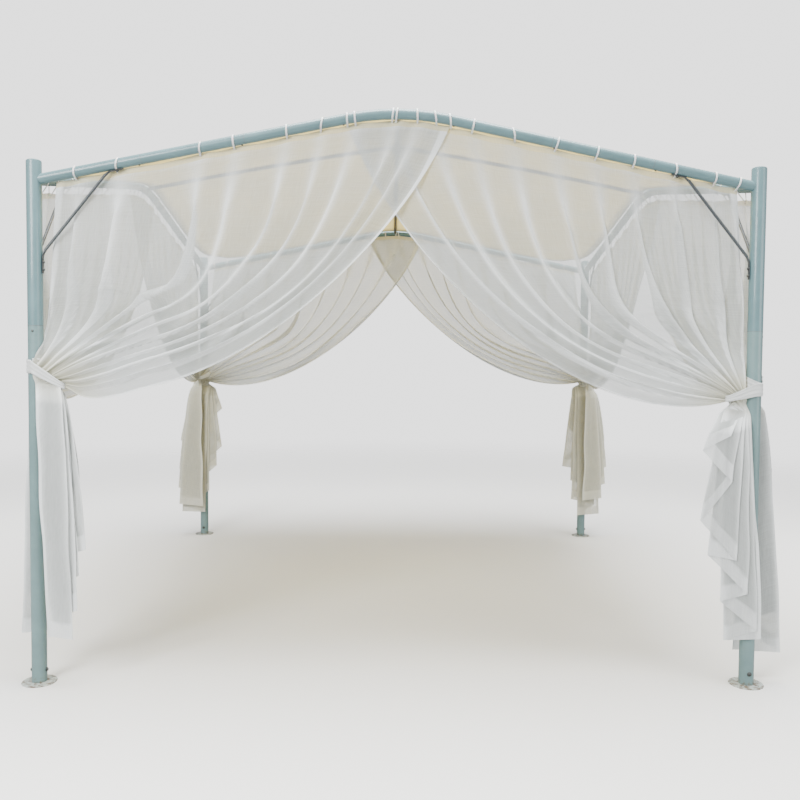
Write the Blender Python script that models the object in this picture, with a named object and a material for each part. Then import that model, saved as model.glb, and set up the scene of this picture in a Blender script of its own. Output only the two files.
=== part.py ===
"""Garden gazebo: four steel posts, arched rails, a fabric canopy and eight tied voile curtains.

Metres, +Z up. The ground is z = 0 and the origin is the middle of the footprint.
All four sides of the frame are alike, so each steel mesh is made once, for the front side, and is
placed on the others by its side's empty, turned a quarter turn about Z. The curtains and their ties
hang differently at each corner and have meshes of their own. In a side's own frame +X runs along
the side, from its left post to its right post, and -Y points out of the gazebo.
"""
from math import asin, atan, atan2, cos, pi, radians, sin, sqrt

import bmesh
import bpy
from mathutils import Vector
from mathutils.geometry import convex_hull_2d

SIDES = ("front", "right", "back", "left")
CORNERS = ("front_left", "front_right", "back_right", "back_left")

# Driving dimensions
HALF_SPAN = 1.470
FIT_GAP = 0.0003

POST_RADIUS = 0.030
POST_WALL = 0.0015
POST_SEAM = 1.470
POST_TOP = 2.139
SPIGOT_LENGTH = 0.080

FLANGE_RADIUS = 0.069
FLANGE_THICKNESS = 0.004
STUB_HEIGHT = 0.084
ANCHOR_HOLE_RADIUS = 0.004
ANCHOR_CIRCLE = 0.052

RAIL_RADIUS = 0.021
RAIL_WALL = 0.0012
RAIL_HEIGHT_AT_POST = 2.055
RAIL_SLOPE = 0.205
CROWN_HALF = 0.213
CROWN_STEPS = 6

RIDGE_RADIUS = 0.0095
RIDGE_WALL = 0.0012
RIDGE_ARCH = 0.010
RIDGE_STEPS = 4
COPE_PASSES = 4
HUB_HEIGHT = 2.598
HUB_RADIUS = 0.030

BRACE_RADIUS = 0.006
BRACE_PAD = (0.010, 0.0022)
BRACE_ON_RAIL = 0.300
BRACE_TOP_PAD = 0.055
BRACE_ON_POST = (1.682, 1.752)

CANOPY_THICKNESS = 0.0015
CANOPY_LIFT = 0.0006
CANOPY_HALF = 1.445
CANOPY_EDGE_INSET = 0.015
CANOPY_CORNER_CUT = 0.125
CANOPY_CORNER_POWER = 10
CANOPY_SAG = 0.015
CANOPY_CELLS = 18

CURTAIN_START = 0.085
CURTAIN_END = 1.678
CURTAIN_COLUMNS = 8
CURTAIN_ROWS = 7
HEADING_HALF_THICKNESS = 0.004
WAIST_HALF_THICKNESS = 0.014
POST_CLEARANCE = 0.002
# The right-hand curtain of a side hangs this much lower at its leading edge
RIGHT_HAND_LOWER = 0.05
# Rail centre to the heading, and how far the heading of a left-hand and a right-hand curtain stands
# out of the rail's plane. The side curtains hang outside their rails, the others inside.
HEADINGS = {"across": (0.027, -0.018, -0.034), "beside": (0.050, 0.028, 0.014)}
BELLY = 0.012

# Where each curtain passes under its tie, by side and hand: distance from the post, width, height
# there, fall across that width, how far from the post its near edge comes down, and the height
# under the tie where it starts to spread
WAISTS = {
    ("front", "left"): (0.000, 0.118, 1.298, 0.074, 0.060, 1.190),
    ("front", "right"): (0.042, 0.068, 1.235, 0.035, 0.036, 1.145),
    ("right", "left"): (0.055, 0.060, 1.235, 0.035, 0.055, 1.145),
    ("right", "right"): (0.085, 0.055, 1.235, 0.035, 0.085, 1.145),
    ("back", "left"): (-0.060, 0.115, 1.235, 0.035, 0.036, 1.145),
    ("back", "right"): (-0.060, 0.115, 1.235, 0.035, 0.036, 1.140),
    ("left", "left"): (0.085, 0.055, 1.235, 0.035, 0.085, 1.145),
    ("left", "right"): (0.055, 0.060, 1.235, 0.035, 0.055, 1.145),
}
# How far a waist stands out of its side: in front of the post's middle, and at the back inside it
WAIST_OUT = 0.016
WAIST_OVER_POST = 0.026
WAIST_INSIDE = -0.058

# Rows of each curtain's tail: height, the near edge's distance from the post and out of the side,
# the same two for the far edge, and half the thickness
TAILS = {
    ("front", "left"): (
        (1.090, 0.012, 0.054, 0.158, 0.048, 0.015),
        (0.900, 0.020, 0.054, 0.182, 0.054, 0.015),
        (0.560, 0.046, 0.054, 0.205, 0.054, 0.015),
        (0.200, 0.056, 0.054, 0.165, 0.054, 0.015),
    ),
    ("front", "right"): (
        (1.060, 0.028, 0.048, 0.150, 0.046, 0.015),
        (0.900, 0.000, 0.054, 0.205, 0.054, 0.015),
        (0.560, -0.020, 0.054, 0.225, 0.054, 0.015),
        (0.200, -0.040, 0.054, 0.130, 0.054, 0.015),
    ),
    ("right", "left"): (
        (1.080, 0.066, -0.008, 0.086, 0.060, 0.016),
        (0.950, 0.070, -0.020, 0.074, 0.100, 0.020),
        (0.560, 0.072, -0.028, 0.072, 0.130, 0.022),
        (0.145, 0.072, -0.034, 0.072, 0.149, 0.020),
    ),
    ("right", "right"): (
        (1.080, 0.100, -0.004, 0.128, 0.060, 0.016),
        (0.950, 0.117, -0.010, 0.119, 0.120, 0.020),
        (0.600, 0.117, -0.016, 0.117, 0.166, 0.022),
        (0.300, 0.117, -0.020, 0.117, 0.125, 0.020),
    ),
    ("back", "left"): (
        (1.060, -0.080, -0.060, 0.095, -0.060, 0.015),
        (0.850, -0.098, -0.062, 0.140, -0.062, 0.016),
        (0.560, -0.106, -0.062, 0.165, -0.062, 0.016),
        (0.180, -0.114, -0.062, 0.060, -0.062, 0.015),
    ),
    ("back", "right"): (
        (1.060, -0.095, -0.060, 0.085, -0.060, 0.015),
        (0.850, -0.125, -0.062, 0.125, -0.062, 0.016),
        (0.560, -0.145, -0.062, 0.150, -0.062, 0.016),
        (0.185, -0.154, -0.062, 0.030, -0.062, 0.015),
    ),
    ("left", "left"): (
        (1.080, 0.100, -0.004, 0.128, 0.060, 0.016),
        (0.950, 0.117, -0.010, 0.119, 0.120, 0.020),
        (0.600, 0.117, -0.016, 0.117, 0.166, 0.022),
        (0.250, 0.117, -0.020, 0.117, 0.160, 0.020),
    ),
    ("left", "right"): (
        (1.080, 0.066, -0.004, 0.086, 0.050, 0.016),
        (0.950, 0.070, -0.012, 0.074, 0.080, 0.020),
        (0.560, 0.072, -0.018, 0.072, 0.092, 0.022),
        (0.150, 0.072, -0.022, 0.072, 0.095, 0.020),
    ),
}
# On the front and back the hem rises in steps towards the leading edge, on the last of the width
HEM_RISE = 0.330
HEM_RISE_FROM = 0.75

STRAP_THICKNESS = 0.0015
STRAP_HALF_WIDTH_AT_POST = 0.022
STRAP_HALF_WIDTH_AT_WAIST = 0.009
STRAP_REACH = 0.130
STRAP_STEPS = 20
# Each tie's height on its post, and its fall for each metre along the two sides that meet there
STRAPS = {
    "front_left": (1.304, 0.75, 1.105),
    "front_right": (1.250, 0.56, 0.68),
    "back_right": (1.245, 1.09, 0.51),
    "back_left": (1.245, 0.40, 1.33),
}
# Circles that a tie is pulled round besides the post: X, Y and radius from the post's axis
STRAP_CIRCLES = {
    "front_left": ((0.004, -0.031, 0.020), (0.030, -0.027, 0.020), (0.060, -0.016, 0.0185),
                   (0.1025, -0.016, 0.019), (-0.016, 0.075, 0.019), (-0.016, 0.098, 0.0205)),
    "front_right": ((0.0695, -0.016, 0.0143), (0.1013, -0.016, 0.0143), (-0.016, 0.064, 0.0195),
                    (-0.016, 0.094, 0.0195)),
    "back_right": ((-0.044, 0.058, 0.0195), (0.039, 0.058, 0.0195), (-0.016, 0.099, 0.0143),
                   (-0.016, 0.1265, 0.0143)),
    "back_left": ((0.058, -0.044, 0.0195), (0.058, 0.039, 0.0195), (0.099, -0.016, 0.0143),
                  (0.1265, -0.016, 0.0143)),
}

TUBE_SIDES = 16
SLIM_SIDES = 10

RAIL_ANGLE = atan(RAIL_SLOPE)
CROWN_RADIUS = CROWN_HALF / sin(RAIL_ANGLE)
ARM_RUN = HALF_SPAN - CROWN_HALF


def material(name, colour, roughness, metallic=0.0):
    """A plain finish; the colour is an sRGB hex value."""
    finish = bpy.data.materials.new(name)
    finish.use_nodes = True
    shader = finish.node_tree.nodes["Principled BSDF"]
    channels = [int(colour[i:i + 2], 16) / 255 for i in (0, 2, 4)]
    linear = [c / 12.92 if c <= 0.04045 else ((c + 0.055) / 1.055) ** 2.4 for c in channels]
    shader.inputs["Base Color"].default_value = (*linear, 1.0)
    shader.inputs["Roughness"].default_value = roughness
    shader.inputs["Metallic"].default_value = metallic
    return finish


def mesh_from(name, bm, smooth_angle=35):
    bmesh.ops.recalc_face_normals(bm, faces=bm.faces)
    mesh = bpy.data.meshes.new(name)
    bm.to_mesh(mesh)
    bm.free()
    mesh.shade_smooth()
    mesh.set_sharp_from_angle(angle=radians(smooth_angle))
    return mesh


def loft(name, rings, closed=False):
    """A skin over rings of points; the ends are capped, or joined into a hollow loop."""
    bm = bmesh.new()
    loops = [[bm.verts.new(point) for point in ring] for ring in rings]
    pairs = list(zip(loops, loops[1:]))
    if closed:
        pairs.append((loops[-1], loops[0]))
    else:
        bm.faces.new(loops[0])
        bm.faces.new(loops[-1])
    for first, second in pairs:
        for i in range(len(first)):
            j = (i + 1) % len(first)
            bm.faces.new((first[i], first[j], second[j], second[i]))
    return mesh_from(name, bm)


def slab(name, top, bottom):
    """A thin closed sheet between two grids of points with the same rows and columns."""
    bm = bmesh.new()
    upper = [[bm.verts.new(p) for p in row] for row in top]
    lower = [[bm.verts.new(p) for p in row] for row in bottom]
    rows, columns = len(top), len(top[0])
    for grid in (upper, lower):
        for i in range(rows - 1):
            for j in range(columns - 1):
                bm.faces.new((grid[i][j], grid[i][j + 1], grid[i + 1][j + 1], grid[i + 1][j]))
    rim = [(0, j) for j in range(columns)]
    rim += [(i, columns - 1) for i in range(1, rows)]
    rim += [(rows - 1, j) for j in range(columns - 2, -1, -1)]
    rim += [(i, 0) for i in range(rows - 2, 0, -1)]
    for (i, j), (k, m) in zip(rim, rim[1:] + rim[:1]):
        bm.faces.new((upper[i][j], upper[k][m], lower[k][m], lower[i][j]))
    return mesh_from(name, bm, 60)


def turned(name, profile, closed=False):
    """A profile of (radius, height) turned about Z."""
    angles = [2 * pi * i / TUBE_SIDES for i in range(TUBE_SIDES)]
    rings = [[(r * cos(a), r * sin(a), z) for a in angles] for r, z in profile]
    return loft(name, rings, closed)


def ring(x, z, angle, across, along_normal, sides):
    """Points round an axis that lies in the XZ plane and leans by an angle."""
    points = []
    for i in range(sides):
        turn = 2 * pi * i / sides
        rise = along_normal * sin(turn)
        points.append(Vector((x - rise * sin(angle), across * cos(turn), z + rise * cos(angle))))
    return points


def rail_height(x):
    """Height of a rail's centre line at a distance x from the middle of its side."""
    x = abs(x)
    crown_base = RAIL_HEIGHT_AT_POST + RAIL_SLOPE * ARM_RUN
    if x >= CROWN_HALF:
        return RAIL_HEIGHT_AT_POST + RAIL_SLOPE * (HALF_SPAN - x)
    return crown_base + sqrt(CROWN_RADIUS ** 2 - x ** 2) - CROWN_RADIUS * cos(RAIL_ANGLE)


def ridge_height(distance):
    """Height of a ridge tube's centre line at a distance from the middle of the roof."""
    t = distance / HALF_SPAN
    return HUB_HEIGHT + (rail_height(0) - HUB_HEIGHT) * t + 4 * RIDGE_ARCH * t * (1 - t)


def flange_mesh():
    """A round foot plate with the short tube that the post slides over."""
    outer = POST_RADIUS - POST_WALL - FIT_GAP
    inner = outer - POST_WALL
    profile = [(FLANGE_RADIUS, 0.0), (FLANGE_RADIUS, FLANGE_THICKNESS - 0.001)]
    profile += [(FLANGE_RADIUS - 0.001, FLANGE_THICKNESS), (outer, FLANGE_THICKNESS)]
    profile += [(outer, STUB_HEIGHT), (inner, STUB_HEIGHT), (inner, FLANGE_THICKNESS)]
    return turned("base_flange", profile)


def anchor_cutter():
    """Four short rods that drill the foot plate's anchor holes."""
    bm = bmesh.new()
    for i in range(4):
        turn = pi / 4 + i * pi / 2
        made = bmesh.ops.create_cone(bm, cap_ends=True, segments=10, radius1=ANCHOR_HOLE_RADIUS,
                                     radius2=ANCHOR_HOLE_RADIUS, depth=0.02)
        centre = Vector((ANCHOR_CIRCLE * cos(turn), ANCHOR_CIRCLE * sin(turn), 0.002))
        bmesh.ops.translate(bm, vec=centre, verts=made["verts"])
    return mesh_from("anchor_holes", bm)


def lower_post_mesh():
    """Lower tube, drawn in at its top to fit the upper one."""
    outer, inner = POST_RADIUS, POST_RADIUS - POST_WALL
    spigot = inner - FIT_GAP
    bottom = FLANGE_THICKNESS + FIT_GAP
    seam = POST_SEAM - FIT_GAP
    profile = [(outer, bottom), (outer, seam), (spigot, seam)]
    profile += [(spigot, seam + SPIGOT_LENGTH), (spigot - POST_WALL, seam + SPIGOT_LENGTH)]
    profile += [(spigot - POST_WALL, seam - 0.006), (inner, seam - 0.012), (inner, bottom)]
    return turned("lower_post", profile, closed=True)


def upper_post_mesh():
    """Upper tube, closed by a low dome."""
    outer, inner = POST_RADIUS, POST_RADIUS - POST_WALL
    profile = [(0.012, POST_TOP), (0.024, POST_TOP - 0.003), (0.0292, POST_TOP - 0.0065)]
    profile += [(outer, POST_TOP - 0.0105), (outer, POST_SEAM), (inner, POST_SEAM)]
    profile += [(inner, POST_TOP - 0.012), (0.023, POST_TOP - 0.005), (0.012, POST_TOP - 0.002)]
    return turned("upper_post", profile)


def coped_ring(mirror, radius):
    """End of a rail, cut to the round of the post."""
    points = []
    for i in range(TUBE_SIDES):
        turn = 2 * pi * i / TUBE_SIDES
        y, rise = radius * cos(turn), radius * sin(turn)
        x = sqrt((POST_RADIUS + 2 * FIT_GAP) ** 2 - y ** 2)
        run = (x + rise * sin(RAIL_ANGLE)) / cos(RAIL_ANGLE)
        z = RAIL_HEIGHT_AT_POST + run * sin(RAIL_ANGLE) + rise * cos(RAIL_ANGLE)
        points.append(Vector((mirror * (x - HALF_SPAN), y, z)))
    return points


def arm_mesh(name, mirror):
    """Straight outer length of a rail, from the post up to the crown."""
    end = CROWN_HALF + FIT_GAP
    outer, inner = RAIL_RADIUS, RAIL_RADIUS - RAIL_WALL
    ends = []
    for radius in (outer, inner):
        points = ring(-end, rail_height(end), RAIL_ANGLE, radius, radius, TUBE_SIDES)
        ends.append([Vector((mirror * p.x, p.y, p.z)) for p in points])
    rings = [coped_ring(mirror, outer), ends[0], ends[1], coped_ring(mirror, inner)]
    return loft(name, rings, closed=True)


def crown_mesh():
    """Bent middle length of a rail, with an end drawn in to fit each arm."""
    spigot = RAIL_RADIUS - RAIL_WALL - FIT_GAP
    bore = spigot - RAIL_WALL
    reach = CROWN_HALF + 0.060 * cos(RAIL_ANGLE)
    stations = [(-reach, spigot), (-CROWN_HALF, spigot)]
    for i in range(CROWN_STEPS + 1):
        lean = RAIL_ANGLE * (1 - 2 * i / CROWN_STEPS)
        stations.append((-CROWN_RADIUS * sin(lean), RAIL_RADIUS))
    stations += [(CROWN_HALF, spigot), (reach, spigot)]
    outer, inner = [], []
    for x, radius in stations:
        lean = -asin(max(-1.0, min(1.0, x / CROWN_RADIUS)))
        lean = max(-RAIL_ANGLE, min(RAIL_ANGLE, lean))
        outer.append(ring(x, rail_height(x), lean, radius, radius, TUBE_SIDES))
        inner.append(ring(x, rail_height(x), lean, bore, bore, TUBE_SIDES))
    return loft("rail_crown", outer + inner[::-1], closed=True)


def slide(point, x):
    """Move a point of a ridge tube along the tube to a new distance from the hub."""
    point.z += ridge_height(x) - ridge_height(point.x)
    point.x = x


def ridge_mesh():
    """Arched tube from the hub, along +X, to the inner side of a rail's crown."""
    start = HUB_RADIUS + FIT_GAP
    stop = HALF_SPAN - RAIL_RADIUS - FIT_GAP
    outer, inner = [], []
    for i in range(RIDGE_STEPS + 1):
        x = start + (stop - start) * i / RIDGE_STEPS
        lean = atan2(ridge_height(x + 0.01) - ridge_height(x - 0.01), 0.02)
        for rings, radius in ((outer, RIDGE_RADIUS), (inner, RIDGE_RADIUS - RIDGE_WALL)):
            rings.append(ring(x, ridge_height(x), lean, radius, radius, SLIM_SIDES))
    for rings in (outer, inner):
        for point in rings[0]:
            slide(point, sqrt((HUB_RADIUS + FIT_GAP) ** 2 - point.y ** 2))
        for point in rings[-1] * COPE_PASSES:
            rise = point.z - rail_height(0)
            slide(point, HALF_SPAN - sqrt((RAIL_RADIUS + FIT_GAP) ** 2 - rise ** 2))
    return loft("ridge_tube", outer + inner[::-1], closed=True)


def hub_mesh():
    """Round block under the roof's peak."""
    top, bottom = HUB_HEIGHT + 0.002, HUB_HEIGHT - 0.024
    profile = [(HUB_RADIUS - 0.003, bottom), (HUB_RADIUS, bottom + 0.003)]
    profile += [(HUB_RADIUS, top - 0.003), (HUB_RADIUS - 0.003, top)]
    return turned("ridge_hub", profile)


def hub_spigot_mesh():
    """Short rod that runs into a ridge tube."""
    radius = RIDGE_RADIUS - RIDGE_WALL - FIT_GAP
    start, stop = HUB_RADIUS - 0.008, HUB_RADIUS + 0.045
    lean = atan2(ridge_height(stop) - ridge_height(start), stop - start)
    rings = [ring(x, ridge_height(x), lean, radius, radius, SLIM_SIDES) for x in (start, stop)]
    return loft("hub_spigot", rings)


def brace_mesh(name, mirror):
    """Round rod with flattened ends, from the post's inner side to the rail's underside."""
    half_width, half_thickness = BRACE_PAD
    post_x = POST_RADIUS + half_thickness + FIT_GAP
    drop = RAIL_RADIUS + half_thickness + FIT_GAP
    low, high = BRACE_ON_POST

    def under_rail(distance):
        z = RAIL_HEIGHT_AT_POST + RAIL_SLOPE * distance
        return distance + drop * sin(RAIL_ANGLE), z - drop * cos(RAIL_ANGLE)

    pad_start, pad_end = under_rail(BRACE_ON_RAIL), under_rail(BRACE_ON_RAIL + BRACE_TOP_PAD)
    foot = (post_x + 0.010, high + 0.024)
    head = (pad_start[0] - 0.018, pad_start[1] - 0.014)
    lean = atan2(head[1] - foot[1], head[0] - foot[0])
    stations = [(post_x, low, pi / 2, half_width, half_thickness)]
    stations.append((post_x, high, pi / 2, half_width, half_thickness))
    stations.append((*foot, lean, BRACE_RADIUS, BRACE_RADIUS))
    stations.append((*head, lean, BRACE_RADIUS, BRACE_RADIUS))
    stations.append((*pad_start, RAIL_ANGLE, half_width, half_thickness))
    stations.append((*pad_end, RAIL_ANGLE, half_width, half_thickness))
    rings = []
    for x, z, angle, across, thick in stations:
        points = ring(x, z, angle, across, thick, SLIM_SIDES)
        rings.append([Vector((mirror * (p.x - HALF_SPAN), p.y, p.z)) for p in points])
    return loft(name, rings)


def canopy_height(x, y):
    """Underside of the roof: a sheet spread between the ridge tubes and the rails."""
    a, b = abs(x) / HALF_SPAN, abs(y) / HALF_SPAN
    hub, crown, corner = ridge_height(0), rail_height(0), rail_height(HALF_SPAN)
    along_ridges = (1 - b) * ridge_height(abs(x)) + (1 - a) * ridge_height(abs(y))
    along_rails = b * rail_height(x) + a * rail_height(y)
    shared = (1 - a) * (1 - b) * hub + (a + b - 2 * a * b) * crown + a * b * corner
    sag = CANOPY_SAG * 16 * a * (1 - a) * b * (1 - b)
    return along_ridges + along_rails - shared - sag + RIDGE_RADIUS + CANOPY_LIFT


def canopy_mesh():
    """The roof sheet, whose edge bows in slightly and whose corners are cut round at the posts."""
    bottom = []
    for i in range(CANOPY_CELLS + 1):
        row = []
        for j in range(CANOPY_CELLS + 1):
            a, b = 2 * i / CANOPY_CELLS - 1, 2 * j / CANOPY_CELLS - 1
            corner = CANOPY_CORNER_CUT * (a * b) ** CANOPY_CORNER_POWER
            x = a * (CANOPY_HALF - CANOPY_EDGE_INSET * b ** 2 - corner)
            y = b * (CANOPY_HALF - CANOPY_EDGE_INSET * a ** 2 - corner)
            row.append(Vector((x, y, canopy_height(x, y))))
        bottom.append(row)
    lift = Vector((0, 0, CANOPY_THICKNESS))
    return slab("roof_canopy", [[p + lift for p in row] for row in bottom], bottom)


def bezier(points, t):
    a, b, c, d = (Vector(p) for p in points)
    s = 1 - t
    return s ** 3 * a + 3 * s * s * t * b + 3 * s * t * t * c + t ** 3 * d


def ease(low, high, x):
    """0 at low, 1 at high, and an eased step between."""
    t = max(0.0, min(1.0, (x - low) / (high - low)))
    return t * t * (3 - 2 * t)


def drape_point(u, t, waist, drop, lower):
    """Distance from the post and height on the drawn-back upper part of a curtain.

    u runs from the edge beside the post (0) to the leading edge (1), and t from the heading to
    the waist.
    """
    near, width, high, fall, edge = waist[:5]
    start = CURTAIN_START + u * (CURTAIN_END - CURTAIN_START)
    top = rail_height(start - HALF_SPAN) - drop
    upper_pull = (start - 0.030 - 0.186 * u, top - 0.27 - 1.919 * u + 1.674 * u ** 2 - lower * u)
    lower_pull = (edge + 1.637 * u - 1.021 * u ** 2,
                  1.535 + 0.75 * u - 1.209 * u ** 2 - lower * (u + 0.3))
    end = (near + width * u, high - fall * u - 0.3 * lower)
    return bezier(((start, top), upper_pull, lower_pull, end), t)


def keep_off_post(x, out, half):
    """Move a point of a curtain's middle straight away from the post that it would touch."""
    away = sqrt(x ** 2 + out ** 2)
    need = POST_RADIUS + POST_CLEARANCE + half
    if away >= need:
        return x, out
    return x * need / away, out * need / away


def out_of_side(side, heading, x, t):
    """How far a curtain stands out of its side's plane at a distance from the post."""
    belly = BELLY * sin(pi * t)
    if side in ("left", "right"):
        return heading * (1 - t) + WAIST_OUT * t + belly / 2
    if side == "back":
        return heading * (1 - t) - belly + WAIST_INSIDE * ease(0.55, 1.0, t)
    gathered = ease(0.7, 1.0, t)
    over_post = WAIST_OVER_POST * ease(0.055, 0.0, x)
    return heading * (1 - t) - belly + (WAIST_OUT + over_post) * gathered


def curtain_mesh(side, hand):
    """A gathered curtain: hung along the rail, drawn in to a waist at the post, then a tail."""
    mirror = 1 if hand == "left" else -1
    lower = 0.0 if hand == "left" else RIGHT_HAND_LOWER
    drop, *headings = HEADINGS["beside" if side in ("left", "right") else "across"]
    heading = headings[0 if hand == "left" else 1]
    waist = WAISTS[side, hand]
    near, width, neck = waist[0], waist[1], waist[5]
    front, back = [], []

    def add_row(middles, normal):
        rows = [[], []]
        for x, out, z, half in middles:
            for row, facing in zip(rows, (-1, 1)):
                along = x + facing * half * normal[0]
                across = out + facing * half * normal[1]
                row.append(Vector((mirror * (along - HALF_SPAN), -(HALF_SPAN + across), z)))
        front.append(rows[0])
        back.append(rows[1])

    columns = [j / CURTAIN_COLUMNS for j in range(CURTAIN_COLUMNS + 1)]
    for i in range(CURTAIN_ROWS + 1):
        t = i / CURTAIN_ROWS
        thickness = HEADING_HALF_THICKNESS + (WAIST_HALF_THICKNESS - HEADING_HALF_THICKNESS) * t ** 2
        middles = []
        for u in columns:
            x, z = drape_point(u, t, waist, drop, lower)
            half = thickness * lens(u, t)
            out = out_of_side(side, heading, x, t)
            middles.append((*keep_off_post(x, out, half), z, half))
        add_row(middles, (0, 1))
    middles = []
    for u in columns:
        x = near + width * u
        half = WAIST_HALF_THICKNESS * lens(u, 1.0)
        out = out_of_side(side, heading, x, 1.0)
        middles.append((*keep_off_post(x, out, half), neck, half))
    add_row(middles, (0, 1))
    for z, near_x, near_out, far_x, far_out, thickness in TAILS[side, hand]:
        stepped = z == TAILS[side, hand][-1][0] and side in ("front", "back")
        run = Vector((far_x - near_x, far_out - near_out)).normalized()
        middles = []
        for u in columns:
            x, out = near_x + (far_x - near_x) * u, near_out + (far_out - near_out) * u
            half = thickness * lens(u, 1.0)
            rise = HEM_RISE * max(0.0, (u - HEM_RISE_FROM) / (1 - HEM_RISE_FROM)) if stepped else 0.0
            middles.append((*keep_off_post(x, out, half), z + rise, half))
        add_row(middles, (-run.y, run.x))
    return slab(f"curtain_{hand}_{side}", front, back)


def lens(u, t):
    """Share of the full thickness: even at the heading, a lens at the waist and the tail."""
    bulge = sqrt(max(0.0, 1 - (2 * u - 1) ** 2))
    return 1 - t ** 2 * (1 - max(0.12, bulge))


def strap_mesh(corner):
    """A band round the post and the waists of the two curtains that meet there.

    It is made about the post's axis, with the inside of the gazebo towards +X and +Y.
    """
    height, fall_x, fall_y = STRAPS[corner]
    outline = []
    for x, y, radius in ((0.0, 0.0, POST_RADIUS + 2 * FIT_GAP), *STRAP_CIRCLES[corner]):
        for i in range(STRAP_STEPS):
            turn = 2 * pi * i / STRAP_STEPS
            outline.append(Vector((x + radius * cos(turn), y + radius * sin(turn))))
    loop = [outline[i] for i in convex_hull_2d(outline)]
    loop = [p for i, p in enumerate(loop) if (p - loop[i - 1]).length > 0.0005]
    rings = []
    for i, point in enumerate(loop):
        direction = (loop[(i + 1) % len(loop)] - loop[i - 1]).normalized()
        out = Vector((direction.y, -direction.x))
        run = min(STRAP_REACH, max(0.0, point.x, point.y))
        z = height - max(0.0, fall_x * point.x, fall_y * point.y)
        narrowing = STRAP_HALF_WIDTH_AT_POST - STRAP_HALF_WIDTH_AT_WAIST
        half = STRAP_HALF_WIDTH_AT_POST - narrowing * run / STRAP_REACH
        face = point + out * STRAP_THICKNESS
        corners = [(point, -half), (point, half), (face, half), (face, -half)]
        rings.append([Vector((p.x, p.y, z + rise)) for p, rise in corners])
    return loft("tieback_" + corner, rings, closed=True)


def place(name, mesh, parent, finish, location=(0, 0, 0), turn=0.0):
    """Put one named piece under its parent."""
    piece = bpy.data.objects.new(name, mesh)
    piece.parent = parent
    piece.location = location
    piece.rotation_euler.z = turn
    bpy.context.collection.objects.link(piece)
    if finish and not mesh.materials:
        mesh.materials.append(finish)
    return piece


def helper(name, mesh, parent, location=(0, 0, 0), turn=0.0):
    """A shape used only to cut or join another piece."""
    tool = place(name, mesh, parent, None, location, turn)
    tool.hide_render = True
    tool.display_type = "WIRE"
    return tool


def combine(piece, tool, operation):
    change = piece.modifiers.new(tool.name, "BOOLEAN")
    change.operation = operation
    change.solver = "EXACT"
    change.object = tool


def empty(name, parent=None, turn=0.0):
    marker = bpy.data.objects.new(name, None)
    marker.parent = parent
    marker.rotation_euler.z = turn
    bpy.context.collection.objects.link(marker)
    return marker


def clear_scene():
    for old in list(bpy.data.objects):
        bpy.data.objects.remove(old, do_unlink=True)


def build():
    clear_scene()
    frame_paint = material("frame_paint", "A4B8BC", 0.42)
    brace_paint = material("brace_paint", "7D8488", 0.45)
    ridge_paint = material("ridge_paint", "7B7770", 0.5)
    canopy_cloth = material("canopy_cloth", "E4DCB8", 0.85)
    voile = material("curtain_voile", "DADAD8", 0.9)
    strap_cloth = material("strap_cloth", "EFEFEC", 0.85)

    gazebo = empty("gazebo")
    meshes = {
        "flange": flange_mesh(),
        "holes": anchor_cutter(),
        "lower": lower_post_mesh(),
        "upper": upper_post_mesh(),
        "arm_left": arm_mesh("rail_arm_left", 1),
        "arm_right": arm_mesh("rail_arm_right", -1),
        "crown": crown_mesh(),
        "ridge": ridge_mesh(),
        "brace_left": brace_mesh("brace_left", 1),
        "brace_right": brace_mesh("brace_right", -1),
    }
    for i, (side, corner) in enumerate(zip(SIDES, CORNERS)):
        frame = empty("side_" + side, gazebo, i * pi / 2)
        post = (-HALF_SPAN, -HALF_SPAN, 0.0)
        side_line = (0.0, -HALF_SPAN, 0.0)
        foot = place("base_flange_" + corner, meshes["flange"], frame, frame_paint, post)
        combine(foot, helper("anchor_holes_" + corner, meshes["holes"], frame, post), "DIFFERENCE")
        place("lower_post_" + corner, meshes["lower"], frame, frame_paint, post)
        place("upper_post_" + corner, meshes["upper"], frame, frame_paint, post)
        place("tieback_" + corner, strap_mesh(corner), frame, strap_cloth, post)
        place("rail_arm_left_" + side, meshes["arm_left"], frame, frame_paint, side_line)
        place("rail_arm_right_" + side, meshes["arm_right"], frame, frame_paint, side_line)
        place("rail_crown_" + side, meshes["crown"], frame, frame_paint, side_line)
        place("ridge_tube_" + side, meshes["ridge"], frame, ridge_paint, turn=-pi / 2)
        place("brace_left_" + side, meshes["brace_left"], frame, brace_paint, side_line)
        place("brace_right_" + side, meshes["brace_right"], frame, brace_paint, side_line)
        for hand in ("left", "right"):
            place(f"curtain_{hand}_{side}", curtain_mesh(side, hand), frame, voile)

    hub = place("ridge_hub", hub_mesh(), gazebo, ridge_paint)
    spigot = hub_spigot_mesh()
    for i, side in enumerate(SIDES):
        combine(hub, helper("hub_spigot_" + side, spigot, gazebo, turn=i * pi / 2), "UNION")
    place("roof_canopy", canopy_mesh(), gazebo, canopy_cloth)


build()
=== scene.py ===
"""Looks of the garden gazebo: finishes, fittings, canopy, curtains, rings, ties and the stage."""
import math
from functools import partial

import bpy
import numpy as np
from bpy.props import FloatProperty, FloatVectorProperty, IntProperty, PointerProperty
from mathutils import Matrix, Vector
from mathutils.geometry import convex_hull_2d


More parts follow.
